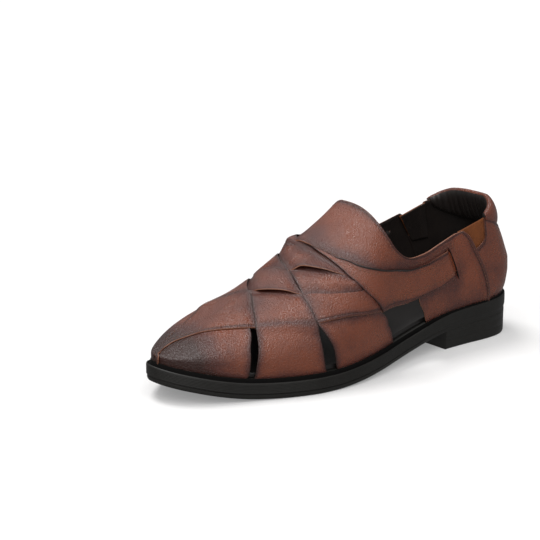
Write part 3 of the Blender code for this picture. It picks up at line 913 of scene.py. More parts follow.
@dataclass
class Panel:
    """A piece of leather drawn between four lines and lasted.

    `low` and `high` run the same way; `start` and `end` run from `low` to `high`.
    """

    low: Line
    high: Line
    start: Line
    end: Line
    surface: Vamp | Heel = field(default_factory=Vamp)
    lift: Rule = field(default_factory=lambda: level(0.0))  # height above the last
    shade: Rule = field(default_factory=lambda: level(0.0))  # burnish away from the edges
    edges: tuple[Edge, Edge, Edge, Edge] = (Edge.CUT, Edge.CUT, Edge.CUT, Edge.CUT)
    counts: tuple[int, int] | None = None  # steps along and across, or None for even ones
    fade: float = 1.0       # how soon the shape of the start and the end is lost on the way between
    arch: Rule | None = None  # how far the low edge stands off

    STEP = 1.2              # of the grid
    SHORTEST = 2.2          # least length that a panel counts for
    ARCH_REACH = 6.0        # how far a low edge that stands off lifts the leather beside it
    DARKEST = 2.0           # most burnish that the shade gives
    EDGE_BURNISH, BURNISH_REACH, BURNISH_FALL = 0.6, 4.0, 1.5  # along every edge, how far and how fast
    INK, INK_REACH = 0.8, 0.8  # darkening along an inked edge, part ink and part painted shade of the gap beside it, and how far it reaches
    # painted shade in the groove of a stitched fold
    GROOVE_BURNISH = 0.5
    RIM_FULL, RIM_REACH = 1.25, 0.45  # how far a bare rim comes on to the face

    def flat(self, along: Array, across: Array) -> Array:
        """Pattern points of the panel, blended from its four lines.

        Args:
            along: shares of the way from start to end.
            across: shares of the way from low to high.

        Returns:
            The points.
        """
        low, high = read_line(self.low, along), read_line(self.high, along)
        start, end = read_line(self.start, across), read_line(self.end, across)
        a, c = along[..., None], across[..., None]
        start_bend = start - (1 - c) * self.low[0] - c * self.high[0]
        end_bend = end - (1 - c) * self.low[-1] - c * self.high[-1]
        bend = (1 - a) ** self.fade * start_bend + a ** self.fade * end_bend
        return (1 - c) * low + c * high + bend

    def lengths(self, count: int = 24) -> tuple[Array, Array, Array]:
        """Measure the panel.

        Args:
            count: lines that are measured each way.

        Returns:
            Shares of the way, the panel's length at each of them, and its width.
        """
        share = np.linspace(0, 1, count)
        along, across = np.meshgrid(share, share, indexing="ij")
        flat = self.flat(along, across)
        points = self.surface.point(flat[..., 0], flat[..., 1])
        long = np.linalg.norm(np.diff(points, axis=0), axis=-1).sum(0)
        wide = np.linalg.norm(np.diff(points, axis=1), axis=-1).sum(1)
        return share, np.maximum(long, self.SHORTEST), np.maximum(wide, self.SHORTEST)

    def spread(self) -> tuple[Array, Array, tuple[Array, Array, Array, Array]]:
        """Spread the points of a grid over the panel, close together where an edge has to turn.

        Returns:
            Shares of the way along and across, and the distances from the low, high, start and end line.
        """
        share, long, wide = self.lengths()
        low, high, start, end = (edge is not Edge.WELDED for edge in self.edges)
        counts = self.counts or [max(2, int(math.ceil(size.max() / self.STEP))) for size in (long, wide)]
        length_at = np.interp(graded(counts[1], np.array([wide.mean()]), low, high)[0], share, long)
        width_at = np.interp(graded(counts[0], np.array([long.mean()]), start, end)[0], share, wide)
        along = graded(counts[0], length_at, start, end).T
        across = graded(counts[1], width_at, low, high)
        length, width = length_at[None, :], width_at[:, None]
        return along, across, (across * width, (1 - across) * width, along * length, (1 - along) * length)

    def lay_into(self, mesh: Mesh) -> None:
        """Last the panel and add it to a mesh.

        Args:
            mesh: the mesh.
        """
        along, across, gaps = self.spread()
        flat = self.flat(along, across)
        stations, places = flat[..., 0], flat[..., 1]
        lift = self.lift(stations, places)
        if self.arch:
            lift = lift + self.arch(stations, places) * np.exp(-(gaps[0] / self.ARCH_REACH) ** 2)
        rim, burnish_and_shade = np.zeros_like(lift), np.clip(self.shade(stations, places), 0.0, self.DARKEST)
        for gap, edge in zip(gaps, self.edges):
            if edge in (Edge.WELDED, Edge.TUCKED):
                continue
            inside = np.clip(edge.radius - gap, 0, edge.radius)
            lift = lift - (edge.radius - np.sqrt(np.maximum(edge.radius ** 2 - inside ** 2, 0.0)))
            rim = np.maximum(rim, edge.bare * np.clip(self.RIM_FULL - gap / self.RIM_REACH, 0, 1))
            rubbed = self.EDGE_BURNISH * np.exp(-(gap / self.BURNISH_REACH) ** self.BURNISH_FALL)
            burnish_and_shade = np.maximum(burnish_and_shade, rubbed)
            # an inked edge: a dark line that is part ink and part painted shade of the gap beside it
            if edge is Edge.DARK:
                burnish_and_shade = burnish_and_shade + self.INK * np.exp(-(gap / self.INK_REACH) ** 2)
            # a folded edge: its stitched groove is sunk into the leather and painted with shade
            if edge is Edge.FOLDED:
                groove = np.exp(-((gap - GROOVE_AT) / GROOVE_WIDTH) ** 2)
                lift = lift - GROOVE_DEPTH * groove
                burnish_and_shade = burnish_and_shade + self.GROOVE_BURNISH * groove
        outward = self.surface.outward(stations, places)
        points = self.surface.point(stations, places) + outward * lift[..., None]
        mesh.add_grid(points, outward, burnish_and_shade, rim)

    def on(self, stations: Array, places: Array) -> tuple[Array, Array]:
        """Read the lasted panel.

        Args:
            stations: of the points.
            places: of the points.

        Returns:
            Points on its face, and the directions out of it.
        """
        outward = self.surface.outward(stations, places)
        lift = self.lift(stations, places)
        return self.surface.point(stations, places) + outward * lift[..., None], outward


class Stuff:
    """Every material of the shoe, made once."""

    def __init__(self) -> None:
        """Build the materials."""
        # the upper's grain side: dyed, waxed and burnished, so it is dark and shiny at its edges; it also
        # takes painted shade in stitched grooves and beside inked edges
        self.leather = Leather().material()
        # raw edge of a cut panel, only dyed: paler than the grain side and quite matt
        self.pale_edge = Plain("raw_leather_edge", "#8E6547", "#6E4A34", 0.7, 0.5).material()
        # raw edge that was inked before the panel was sewn, made near black also as painted shade of the
        # gap beside it: a thin dark line
        self.dark_edge = Plain("inked_leather_edge_painted_shade", "#2A1712", "#1C100D", 0.6, 0.5).material()
        # lining: finished black calf, slightly glossy
        self.lining = Plain("black_lining_leather", "#221C19", "#181413", 0.42, 0.7).material()
        # insole cover: the same calf, rubbed smoother and blacker
        self.insole = Plain("black_insole_leather", "#141110", "#0E0C0B", 0.42, 0.7, 0.04, 0.4).material()
        # moulded sole: satin black rubber, a little grey where light grazes it
        self.rubber = Plain("moulded_black_rubber", "#161513", "#1B1A18", 0.5, 0.6, 0.03, 0.25).material()
        # crease between sole and upper: the same rubber, made darker and matt as painted shade of the deep
        # crease
        self.crease = Plain("sole_crease_painted_shade", "#070606", "#0A0908", 0.8, 0.6, 0.03, 0.1).material()
        # waxed brown sewing thread
        self.thread = Plain("waxed_thread", "#6A4630", "#4A2E22", 0.6, 0.2, 0.02).material()
        # woven elastic: tan webbing over rubber, quite matt
        self.elastic = Plain("elastic_webbing", "#6C3C1B", "#522B14", 0.8, 0.25, 0.06, 0.2).material()

    def cut(self, name: str, *panels: Panel, pale: bool = False) -> Object:
        """Make a leather piece of the upper.

        Args:
            name: its name.
            panels: the panels that its outer face is drawn in.
            pale: whether its cut edges are left pale, and not inked and darkened as painted shade.

        Returns:
            The piece.
        """
        mesh = Mesh()
        for panel in panels:
            panel.lay_into(mesh)
        mesh.weld()
        # the cut edges are pale, or inked and darkened as painted shade of the gaps beside them
        edge = self.pale_edge if pale else self.dark_edge
        piece = mesh.finish(name, self.leather, self.lining, edge, wall=WALL)
        return piece


class Seam:
    """Rows of stitches, gathered into one mesh."""

    LENGTH, PITCH, WIDTH = 2.1, 2.9, 0.42  # of a stitch: its length, from one to the next, its thread
    SINK = (-0.8, 0.1, 0.25, 0.1, -0.8)  # height along a stitch, in widths of the thread
    THICK = (0.3, 0.9, 1.0, 0.9, 0.3)  # thickness along it, in the same
    SIDES = 6               # of the thread
    SAMPLES = 240           # points that a pattern line is read at
    WELD = 0.001            # points of a stitch that are merged, in mm

    def __init__(self) -> None:
        """Start with no stitches."""
        self.mesh = Mesh()

    def sew(self, points: Array, outward: Array) -> None:
        """Add stitches along a run of points.

        Args:
            points: the points.
            outward: the direction out of the leather at each.
        """
        run = np.concatenate([[0.0], np.cumsum(np.linalg.norm(np.diff(points, axis=0), axis=1))])
        turns = np.linspace(0, 2 * math.pi, self.SIDES + 1)[None, :, None]
        sink = self.WIDTH * np.array(self.SINK)[:, None, None]
        thick = 0.5 * self.WIDTH * np.array(self.THICK)[:, None, None]
        for middle in np.arange(self.PITCH / 2, run[-1], self.PITCH):
            at = middle + np.linspace(-0.5, 0.5, len(self.SINK)) * self.LENGTH
            line = np.stack([np.interp(at, run, points[:, axis]) for axis in range(3)], axis=-1)
            out = np.array([np.interp(middle, run, outward[:, axis]) for axis in range(3)])
            along = unit(line[-1] - line[0])
            side = unit(np.cross(along, out))
            top = np.cross(side, along)
            ring = np.cos(turns) * side + np.sin(turns) * top
            body = line[:, None, :] + top * sink + ring * thick
            self.mesh.add_grid(body, ring + 0 * body)

    def follow(self, panel: Panel, line: Line) -> None:
        """Sew along a pattern line on a panel."""
        fine = read_line(line, np.linspace(0, 1, self.SAMPLES))
        self.sew(*panel.on(fine[:, 0], fine[:, 1]))

    def finish(self, name: str, thread: Material) -> Object:
        """Close the stitches' sides and make the object."""
        self.mesh.weld(self.WELD)
        return self.mesh.finish(name, thread)


# ---- the weave

WALL = 1.15                 # thickness of the upper's leather
OVER, UNDER = 1.25, -0.5    # height of a strap where it passes over another, and under
RAMP = 7.0                  # leather that a strap takes to rise or to sink
LEAD = 8.0                  # how far before the first line a strap that starts over has come up
ARCH_START, ARCH_RISE = 1.0, 11.0  # past a line, where a strap begins to stand off, and how slowly
CELL_BURNISH, CELL_REACH, CELL_FALL = 0.5, 2.4, 1.5  # beside a crossing strap, how far and how fast
ROW_IN = 2.8                # from an edge of the weave to its row of stitches

# Burnish of the whole upper: how much, from where, and over how much leather it grows.
TOE_BURNISH, TOE_FROM, TOE_GROWS = 1.15, 253.0, 31.0  # towards the toe, by station
SOLE_BURNISH, SOLE_FROM, SOLE_GROWS = 0.55, 0.86, 0.14  # towards the sole, by place
CROWN_BURNISH, CROWN_FROM, CROWN_GROWS = 0.30, 145.0, 30.0  # along the crown, by station,
CROWN_TO, CROWN_FADES, CROWN_WIDE = 275.0, 40.0, 0.42  # to where, and how far down the sides


class Crossing(Enum):
    """What a strap does in the cells it crosses, from its start inwards."""

    OVER_UNDER_OVER = (True, False, True)
    UNDER_OVER_UNDER = (False, True, False)


def woven(bounds: Sequence[Line], crossing: Crossing, ground: float) -> Rule:
    """Height of a strap that is woven through others.

    Args:
        bounds: the lines that it crosses, each run so that the next cell is on its left.
        crossing: whether it passes over the others in each cell between two lines.
        ground: its height before the first line.

    Returns:
        The rule.
    """
    def rule(stations: Array, places: Array) -> Array:
        """Height of the strap.

        Args:
            stations: of the points.
            places: of the points.

        Returns:
            The heights.
        """
        gaps = [past(line, stations, places) for line in bounds]
        height = ground + (UNDER - ground) * ease((gaps[0] + RAMP) / RAMP)
        for index, is_over in enumerate(crossing.value):
            if is_over:
                risen = gaps[index] + (LEAD if index == 0 else 0.0)
                inside = np.minimum(ease(risen / RAMP), ease(-gaps[index + 1] / RAMP))
                height = height + (OVER - height) * inside
        return height
    return rule


def arched(bounds: Sequence[Line], crossing: Crossing, amount: float) -> Rule:
    """How far a strap's front edge stands off where it passes over others, past its first cell.

    Args:
        bounds: the lines that it crosses.
        crossing: whether it passes over the others in each cell.
        amount: how far it stands off at most.

    Returns:
        The rule.
    """
    def rule(stations: Array, places: Array) -> Array:
        """How far the edge stands off.

        Args:
            stations: of the points.
            places: of the points.

        Returns:
            The distances.
        """
        gaps = [past(line, stations, places) for line in bounds]
        height = np.zeros_like(stations)
        for index, is_over in enumerate(crossing.value):
            if is_over and index:
                inside = np.minimum(gaps[index], -gaps[index + 1])
                height = np.maximum(height, amount * ease((inside - ARCH_START) / ARCH_RISE))
        return height
    return rule


def cell_shade(bounds: Sequence[Line]) -> Rule:
    """Burnish that darkens towards some lines, where straps cross.

    Args:
        bounds: the lines.

    Returns:
        The rule.
    """
    def rule(stations: Array, places: Array) -> Array:
        """Burnish of the strap."""
        gap = np.min([np.abs(past(line, stations, places)) for line in bounds], axis=0)
        return CELL_BURNISH * np.exp(-(gap / CELL_REACH) ** CELL_FALL) + foot_shade(stations, places)
    return rule


def foot_shade(stations: Array, places: Array) -> Array:
    """Burnish of the whole upper, which darkens towards the toe, the sole and the crown.

    Args:
        stations: of the points.
        places: of the points.

    Returns:
        The burnish.
    """
    toe = TOE_BURNISH * ease((stations - TOE_FROM) / TOE_GROWS)
    sole = SOLE_BURNISH * ease((np.abs(places) - SOLE_FROM) / SOLE_GROWS)
    crown = CROWN_BURNISH * ease((stations - CROWN_FROM) / CROWN_GROWS)
    crown = crown * ease((CROWN_TO - stations) / CROWN_FADES) * np.exp(-(places / CROWN_WIDE) ** 2)
    return toe + sole + crown


@dataclass(frozen=True)
class Strap:
    """A strap that rises from the sole and is woven across the foot."""

    name: str
    side: int
    front: Line
    rear: Line
    crossing: Crossing
    stands_off: float       # how far its front edge stands off past its first cell, in mm


STRAPS = (
    # between the two slots
    Strap("strap_front_lateral", LATERAL, B1, B2_TOEWARD, Crossing.OVER_UNDER_OVER, 0.9),
    Strap("strap_front_medial", MEDIAL, B1, S2_TOEWARD, Crossing.UNDER_OVER_UNDER, 0.9),
    # between the rear slot and the side window
    Strap("strap_middle_lateral", LATERAL, B2_HEELWARD, B3, Crossing.UNDER_OVER_UNDER, 1.2),
    Strap("strap_middle_medial", MEDIAL, S2_HEELWARD, mirrored(L4), Crossing.OVER_UNDER_OVER, 1.7),
)


@dataclass
class Weave:
    """The front of the upper: wings, toe panel with two arms, and two straps from each side."""

    stuff: Stuff
    seam: Seam

    GROUND = -0.15          # height of a strap at the sole
    WING_HEIGHT = -0.35
    WING_TOP, GAIN_TOP = 0.26, 0.06  # where a wing ends at the top, and further on the outer side
    GAIN_MIDDLE, GAIN_END = 0.06, 0.08  # how much more of the outer wing runs under the toe panel
    TOE_HEIGHT = 0.85
    TOE_COUNTS = (190, 44)
    FORK = 220.0            # station where the toe panel parts into two arms
    TURN = 149.0            # station where an arm's lower edge meets the strap's
    ARM_END, ARM_TOP_END = 144.0, 158.0  # stations where an arm's lower and upper edge end
    SEWN_FROM, OUTER_SEWN_TO, INNER_SEWN_TO = 283.0, 206.0, 171.0  # of its rows of stitches
    TIP_HEIGHT, TIP_COUNTS = 0.45, (40, 6)
    ARM_BLEND = 0.1         # place by which the outer arm begins to sink
    ARM_RUNS_ON = 3.0       # how far it stays up under the saddle
    HUMP_AT, HUMP_HEIGHT, HUMP_RADIUS = (174.0, -0.185), 4.2, 4.6  # where strap ends pile up
    FREE, FREE_REACH = 0.9, 3.0  # how much higher the leather is where nothing crosses it
    SEAM_SHORT = 1.5        # where a strap's row of stitches stops before its sides

    def build(self) -> list[Object]:
        """Build every piece of it.

        Returns:
            The pieces.
        """
        pieces = [self.wing(LATERAL), self.wing(MEDIAL), self.toe()]
        return pieces + [self.strap(strap) for strap in STRAPS]

    def wing(self, side: int) -> Object:
        """Build a front side panel, which runs under the toe panel.

        Args:
            side: its side of the foot.

        Returns:
            The piece.
        """
        gained = 1.0 if side > 0 else 0.0
        top = self.WING_TOP + self.GAIN_TOP * gained
        low = drawn((295.2, 1.0), (293, 1.0), (288, 1.0), (275, 1.0), (262, 1.0), (250, 1.0))
        high = drawn((295.2, -0.09), (288, -0.09), (275, -0.03), (264, 0.04),
                     (255, 0.09 + self.GAIN_MIDDLE * gained), (246, 0.17 + self.GAIN_END * gained),
                     (239, top))
        end = drawn((250, 1.0), (249, 0.91), (246.5, 0.61), (241, 0.42), (239, top))
        panel = Panel(low, high, ends(low, high)[0], end, Vamp(side), level(self.WING_HEIGHT), foot_shade,
                      (Edge.TUCKED, Edge.TUCKED, Edge.WELDED, Edge.DARK))
        return self.stuff.cut(f"toe_wing_{SIDE_NAME[side]}", panel)

    def toe(self) -> Object:
        """Build the toe panel: a spear whose two arms run back into the weave.

        Returns:
            The piece.
        """
        panels = []
        middle = drawn((293.7, 0.0), (288, -0.02), (280, -0.04), (270, -0.04), (258, -0.01), (244, 0.0),
                       (220, 0.0))
        inner_edge = drawn((293.5, 0.05), (289.2, 0.072), (281, 0.115), (271, 0.125), (262, 0.14),
                           (255.3, 0.165), (249, 0.22), (243, 0.295), (236, 0.37), (228, 0.425),
                           (220, 0.46))
        inner_edge = joined(inner_edge, clipped(L1_FRONT, self.FORK, self.TURN))
        for side, edge, front, sewn_to in (
                (LATERAL, L1_FRONT, middle, self.OUTER_SEWN_TO),
                (MEDIAL, inner_edge, middle * np.array([1.0, -1.0]), self.INNER_SEWN_TO)):
            low = joined(edge, clipped(L1_REAR, self.TURN, self.ARM_END))
            high = joined(front, np.concatenate([front[-1:], clipped(L2, self.FORK, self.ARM_TOP_END)[1:]]))
            panels.append(Panel(low, high, *ends(low, high), Vamp(side), self.arm_height(side),
                                cell_shade((B1, B2_TOP, B3)),
                                (Edge.FOLDED, Edge.WELDED, Edge.TUCKED, Edge.WELDED),
                                counts=self.TOE_COUNTS))
            self.seam.follow(panels[-1], beside_line(clipped(edge, self.SEWN_FROM, sewn_to), ROW_IN))
        return self.stuff.cut("toe_spear", *panels, self.tip())

    def tip(self) -> Panel:
        """Draw the spear's narrow end, turned down over the tip of the toe.

        Returns:
            The panel.
        """
        low = drawn((291.5, 0.075), (293.4, 0.113), (294.35, 0.35), (294.7, 0.6), (294.8, 1.0))
        high = drawn((292.0, -0.06), (294.3, -0.03), (294.95, 0.2), (295.06, 0.55), (295.04, 1.0))
        return Panel(low, high, *ends(low, high), Vamp(LATERAL), level(self.TIP_HEIGHT), foot_shade,
                     (Edge.CUT, Edge.CUT, Edge.TUCKED, Edge.TUCKED), counts=self.TIP_COUNTS)

    def arm_height(self, side: int) -> Rule:
        """Height of the toe panel: level at the toe, then woven in two cells.

        Args:
            side: the arm's side of the foot.

        Returns:
            The rule.
        """
        def rule(stations: Array, places: Array) -> Array:
            """Height of the arm.

            Args:
                stations: of the points.
                places: of the points.

            Returns:
                The heights.
            """
            first, second, third = (past(line, stations, places) for line in (B1, B2_TOP, B3))
            if side == MEDIAL:  # over the first strap, then under the second
                return self.TOE_HEIGHT + (UNDER - self.TOE_HEIGHT) * ease((second + RAMP) / RAMP)
            sunk = ease((first + RAMP) / RAMP) * ease(places / self.ARM_BLEND)
            height = self.TOE_HEIGHT + (UNDER - self.TOE_HEIGHT) * sunk
            inside = np.minimum(ease(second / RAMP), ease((self.ARM_RUNS_ON - third) / RAMP))
            return height + (OVER - height) * inside
        return rule

    def humped(self, rule: Rule) -> Rule:
        """Add the hump where strap ends pile up under the saddle's tip.

        Args:
            rule: heights without it.

        Returns:
            The rule.
        """
        def humped_rule(stations: Array, places: Array) -> Array:
            """Heights with the hump.

            Args:
                stations: of the points.
                places: of the points.

            Returns:
                The heights.
            """
            along, across = stations - self.HUMP_AT[0], PLACE_SCALE * (places - self.HUMP_AT[1])
            hump = self.HUMP_HEIGHT * np.exp(-0.5 * (along ** 2 + across ** 2) / self.HUMP_RADIUS ** 2)
            free = self.FREE * ease(past(L4, stations, places) / self.FREE_REACH)
            return rule(stations, places) + hump + free
        return humped_rule

    def strap(self, strap: Strap) -> Object:
        """Build a strap.

        Args:
            strap: the strap.

        Returns:
            The piece.
        """
        outer = strap.side == LATERAL
        low, high = strap.front[::-1], strap.rear[::-1]
        bounds = (L1_FRONT, L2, L3 if outer else mirrored(B2_HEELWARD), L4)
        lift = woven(bounds, strap.crossing, self.GROUND)
        if strap.rear is B3:
            lift = self.humped(lift)
        # outer straps: inked edges, darkened as painted shade of their gaps; inner straps: pale cut edges
        cut = Edge.DARK if outer else Edge.CUT
        panel = Panel(low, high, *ends(low, high), Vamp(strap.side), lift, cell_shade(bounds),
                      (cut, cut, Edge.TUCKED, Edge.TUCKED),
                      arch=arched(bounds, strap.crossing, strap.stands_off))
        if strap.crossing is Crossing.OVER_UNDER_OVER:
            row = beside_line(L1_FRONT, ROW_IN)
            inside = ((past(strap.front, row[:, 0], row[:, 1]) > self.SEAM_SHORT)
                      & (past(strap.rear, row[:, 0], row[:, 1]) < -self.SEAM_SHORT))
            if inside.sum() > 2:
                self.seam.follow(panel, row[inside])
        return self.stuff.cut(strap.name, panel, pale=not outer)


# ---- rear of the upper

DIVIDE_TOP, DIVIDE_LOW = 82.0, 63.0  # the line where the saddle's mesh becomes the quarter's


@dataclass
class Quarters:
    """The rear of the upper: saddle and quarters in one, side straps and heel counter."""

    stuff: Stuff
    seam: Seam

    REAR_TOP = 64.0         # station where the quarter's top edge ends
    THROAT_GAP = 0.01       # how far behind the throat the top edge starts
    LINE_POINTS = 160       # that a top edge is read at
    # the saddle: up over the ends of the weave, down into the slit, up at its seam with the counter
    PILE_HEIGHT, PILE_FROM, PILE_GROWS, PILE_PLACE, PILE_FADES = 1.5, 160.0, 12.0, 0.22, 0.14
    PRESSED, PRESS_REACH = 1.5, 6.0
    MOUTH, MOUTH_FADES = (0.690, 0.822), 0.02  # places that the slit's mouth lies between
    SEAM_HEIGHT, SEAM_REACH = 0.9, 7.0
    SADDLE_COUNTS, SADDLE_FADE = (150, 60), 4.0
    REAR_COUNTS, REAR_FADE = (30, 60), 2.0
    STRAP_BURNISH, STRAP_REACH, STRAP_FALL = 0.45, 5.0, 1.5  # of the saddle, beside the side strap
    # rows of stitches, from the line that they follow
    REAR_ROWS = (1.8, 4.4)
    SLIT_ROW, TOP_ROW, UNDER_STRAP_ROW, STRAP_ROW = -2.6, -2.2, 0.9, 2.0
    # the side strap; the stations that its rows of stitches run between come first
    LOW_ROW, HIGH_ROW = (147.0, 71.0), (168.0, 79.0)
    STRAP_HEIGHT, INTO_SLIT, SUNK, SINK_REACH = 0.9, 0.7, 2.2, 3.6
    TIP_RISE, INNER_TIP, TIP_PLACE = 1.1, 0.3, 0.26
    # the counter
    COUNTER_HEIGHT, COUNTER_POINTS = -0.3, 60
    COUNTER_BURNISH, FOOT_BURNISH, FOOT_SHARE = 0.2, 0.5, 0.1

    def build(self) -> list[Object]:
        """Build every piece of it.

        Returns:
            The pieces.
        """
        return [self.saddle(), self.side_strap(LATERAL), self.side_strap(MEDIAL), self.counter()]

    def topline(self, side: int, first: float, last: float) -> Line:
        """Draw the top edge between two stations.

        Args:
            side: its side of the foot.
            first: station that it starts from.
            last: station that it ends at, behind the first.

        Returns:
            The line.
        """
        inside = [station for station, _ in TOP_EDGE if first > station > last]
        stations = np.array([first, *sorted(inside, reverse=True), last])
        heights = knots(TOP_EDGE, stations) + (knots(INNER_RISE, stations) if side < 0 else 0.0)
        line = height_line(side, *zip(stations.tolist(), heights.tolist())) * np.array([1.0, side])
        return read_line(line, np.linspace(0, 1, self.LINE_POINTS))

    def saddle_height(self, divide: Line) -> Rule:
        """Height of the saddle: up over the ends of the weave, down into the slit, up at its seam.

        Args:
            divide: the line where the saddle's mesh becomes the quarter's.

        Returns:
            The rule.
        """
        def rule(stations: Array, places: Array) -> Array:
            """Height of the saddle.

            Args:
                stations: of the points.
                places: of the points.

            Returns:
                The heights.
            """
            crown = self.PILE_HEIGHT * ease((stations - self.PILE_FROM) / self.PILE_GROWS)
            crown = crown * ease((self.PILE_PLACE - places) / self.PILE_FADES)
            slit = np.abs(past(SLIT, stations, places))
            low, high = self.MOUTH
            mouth = ease((places - low) / self.MOUTH_FADES) * ease((high - places) / self.MOUTH_FADES)
            before = ease(past(divide, stations, places) / self.MOUTH_FADES + 1.0)
            pressed = self.PRESSED * ease(1 - slit / self.PRESS_REACH) * mouth * before
            return crown - pressed + self.rear_height(stations, places)
        return rule

    def rear_height(self, stations: Array, places: Array) -> Array:
        """Height of the quarter behind the slit, up at its seam with the counter."""
        near = 1 - np.abs(past(REAR_SEAM, stations, places)) / self.SEAM_REACH
        return self.SEAM_HEIGHT * ease(near)

    def saddle_shade(self, stations: Array, places: Array) -> Array:
        """Burnish of the saddle and the quarters: darker beside the strap and at the sole."""
        gap = np.min([np.abs(past(line, stations, places)) for line in (STRAP_TOP, L1_REAR)], axis=0)
        beside = self.STRAP_BURNISH * np.exp(-(gap / self.STRAP_REACH) ** self.STRAP_FALL)
        return beside + foot_shade(stations, places)

    def saddle(self) -> Object:
        """Build the saddle over the instep, run back on both sides into the quarters.

        Returns:
            The piece.
        """
        panels = []
        front_edge = drawn((174.6, 0.0), (174.7, 0.06), (174.4, 0.115), (173.4, 0.19), (171.5, 0.26),
                           (168.5, 0.33), (164, 0.42), (156, 0.525), (147, 0.61), (136, 0.69), (123, 0.755),
                           (113, 0.785), (108, 0.80))
        front_edge = joined(front_edge,
                            drawn((108, 0.80), (106, 0.83), (101, 0.884), (97.5, 0.955), (96, 1.0)),
                            np.array([(96.0, 1.0), (DIVIDE_LOW, 1.0)]))
        slit_side = drawn((64, 0.85), (67, 0.808), (70, 0.768), (74, 0.723), (76, 0.703), (79, 0.66))
        for side in (LATERAL, MEDIAL):
            surface = Vamp(side)
            high = self.topline(side, THROAT_STATION - self.THROAT_GAP, DIVIDE_TOP)
            rear_high = self.topline(side, DIVIDE_TOP, self.REAR_TOP)
            divide = joined(drawn((DIVIDE_LOW, 1.0), (64.5, 0.91), (67, 0.808)), SLIT,
                            drawn((76, 0.703), (78.5, 0.688), tuple(rear_high[0])))
            seam_line = REAR_SEAM.copy()
            seam_line[-1] = rear_high[-1]
            front = Panel(front_edge, high, ends(front_edge, high)[0], divide, surface,
                          self.saddle_height(divide), self.saddle_shade,
                          (Edge.CUT, Edge.FOLDED, Edge.WELDED, Edge.WELDED),
                          counts=self.SADDLE_COUNTS, fade=self.SADDLE_FADE)
            rear = Panel(np.array([(DIVIDE_LOW, 1.0), (31.5, 1.0)]), rear_high, divide, seam_line, surface,
                         self.rear_height, self.saddle_shade,
                         (Edge.TUCKED, Edge.FOLDED, Edge.WELDED, Edge.FOLDED),
                         counts=self.REAR_COUNTS, fade=self.REAR_FADE)
            panels += [front, rear]
            # rows of stitches, each stopped short of its line's ends
            for row in self.REAR_ROWS:
                self.seam.follow(rear, beside_line(seam_line, row)[4:-4])
            self.seam.follow(rear, beside_line(slit_side, self.SLIT_ROW)[:-10])
            self.seam.follow(front, beside_line(high, self.TOP_ROW)[6:])
            self.seam.follow(rear, beside_line(rear_high, self.TOP_ROW)[:-22])
            self.seam.follow(front, beside_line(STRAP_TOP, self.UNDER_STRAP_ROW)[2:44])
        return self.stuff.cut("saddle_quarters", *panels)

    def strap_height(self, side: int) -> Rule:
        """Height of a side strap: up over the ends of the weave, down into the slit.

        Args:
            side: its side of the foot.

        Returns:
            The rule.
        """
        def rule(stations: Array, places: Array) -> Array:
            """Height of the strap.

            Args:
                stations: of the points.
                places: of the points.

            Returns:
                The heights.
            """
            slit = np.maximum(past(SLIT, stations, places), 0.0)
            rise = ease((stations - self.PILE_FROM) / self.PILE_GROWS)
            rise = rise * ease((self.TIP_PLACE - places) / self.PILE_FADES)
            tip = self.TIP_RISE * (1.0 if side == LATERAL else self.INNER_TIP) * rise
            return self.STRAP_HEIGHT + tip - self.SUNK * ease(1 - slit / self.SINK_REACH)
        return rule

    def side_strap(self, side: int) -> Object:
        """Build a slanting strap over the ends of the weave, let into a slit of the quarter.

        Args:
            side: its side of the foot.

        Returns:
            The piece.
        """
        start = joined(STRAP_FRONT, np.array([STRAP_FRONT[-1], STRAP_TOP[0]]))
        end = beside_line(SLIT, -self.INTO_SLIT)
        low = np.concatenate([L1_REAR[:-2], end[:1]])
        high = np.concatenate([STRAP_TOP[:-2], end[-1:]])
        panel = Panel(low, high, start, end, Vamp(side), self.strap_height(side),
                      edges=(Edge.FOLDED, Edge.FOLDED, Edge.DARK, Edge.TUCKED))
        self.seam.follow(panel, beside_line(clipped(low, *self.LOW_ROW), self.STRAP_ROW))
        self.seam.follow(panel, beside_line(clipped(STRAP_TOP, *self.HIGH_ROW), -self.STRAP_ROW))
        self.seam.follow(panel, beside_line(STRAP_FRONT, -self.STRAP_ROW)[4:-34])
        return self.stuff.cut(f"side_strap_{SIDE_NAME[side]}", panel)

    @staticmethod
    def heel_line(side: int, *points: tuple[float, float]) -> Line:
        """A line in signed rows and shares, from pattern points."""
        return np.array([(side * float(LAST.rows_at(np.array(station))), min(1 - place, 1))
                         for station, place in points])

    def counter(self) -> Object:
        """Build the heel counter, in one piece round the back.

        Returns:
            The piece.
        """
        fronts, tops = {}, {}
        for side, rise in ((LATERAL, ((35.3, 89.4), (30, 88.2), (22, 84.8))),
                           (MEDIAL, ((35.3, 89.6), (30, 90.4), (27, 90.2), (24, 87.0), (20, 83.8)))):
            fronts[side] = self.heel_line(side, (37.5, 1.02), (39.5, 0.96), (43.5, 0.884), (46.5, 0.84),
                                          (50.5, 0.792), (55.0, 0.748))
            heights = ((54.5, 66.2), (49, 68.6), (44.5, 70.7), (40.6, 73.0), (38.0, 76), (36.8, 83), *rise,
                       (12, 80.3), (5, 78.0), (3, 77.6))
            tops[side] = self.heel_line(side, *((station, side * LAST.place_at(station, height, side))
                                                for station, height in heights))
        high = np.concatenate([tops[MEDIAL], tops[LATERAL][::-1][1:]])
        low_rows = np.linspace(fronts[MEDIAL][0, 0], fronts[LATERAL][0, 0], self.COUNTER_POINTS)
        low = np.stack([low_rows, np.full(self.COUNTER_POINTS, -LAST.TURNED_IN)], axis=-1)
        start = np.concatenate([fronts[MEDIAL], tops[MEDIAL][:1]])
        end = np.concatenate([fronts[LATERAL], tops[LATERAL][:1]])
        panel = Stretched(low, high, start, end, Heel(), level(self.COUNTER_HEIGHT), self.counter_shade,
                          (Edge.TUCKED, Edge.FOLDED, Edge.TUCKED, Edge.TUCKED))
        return self.stuff.cut("heel_counter", panel)

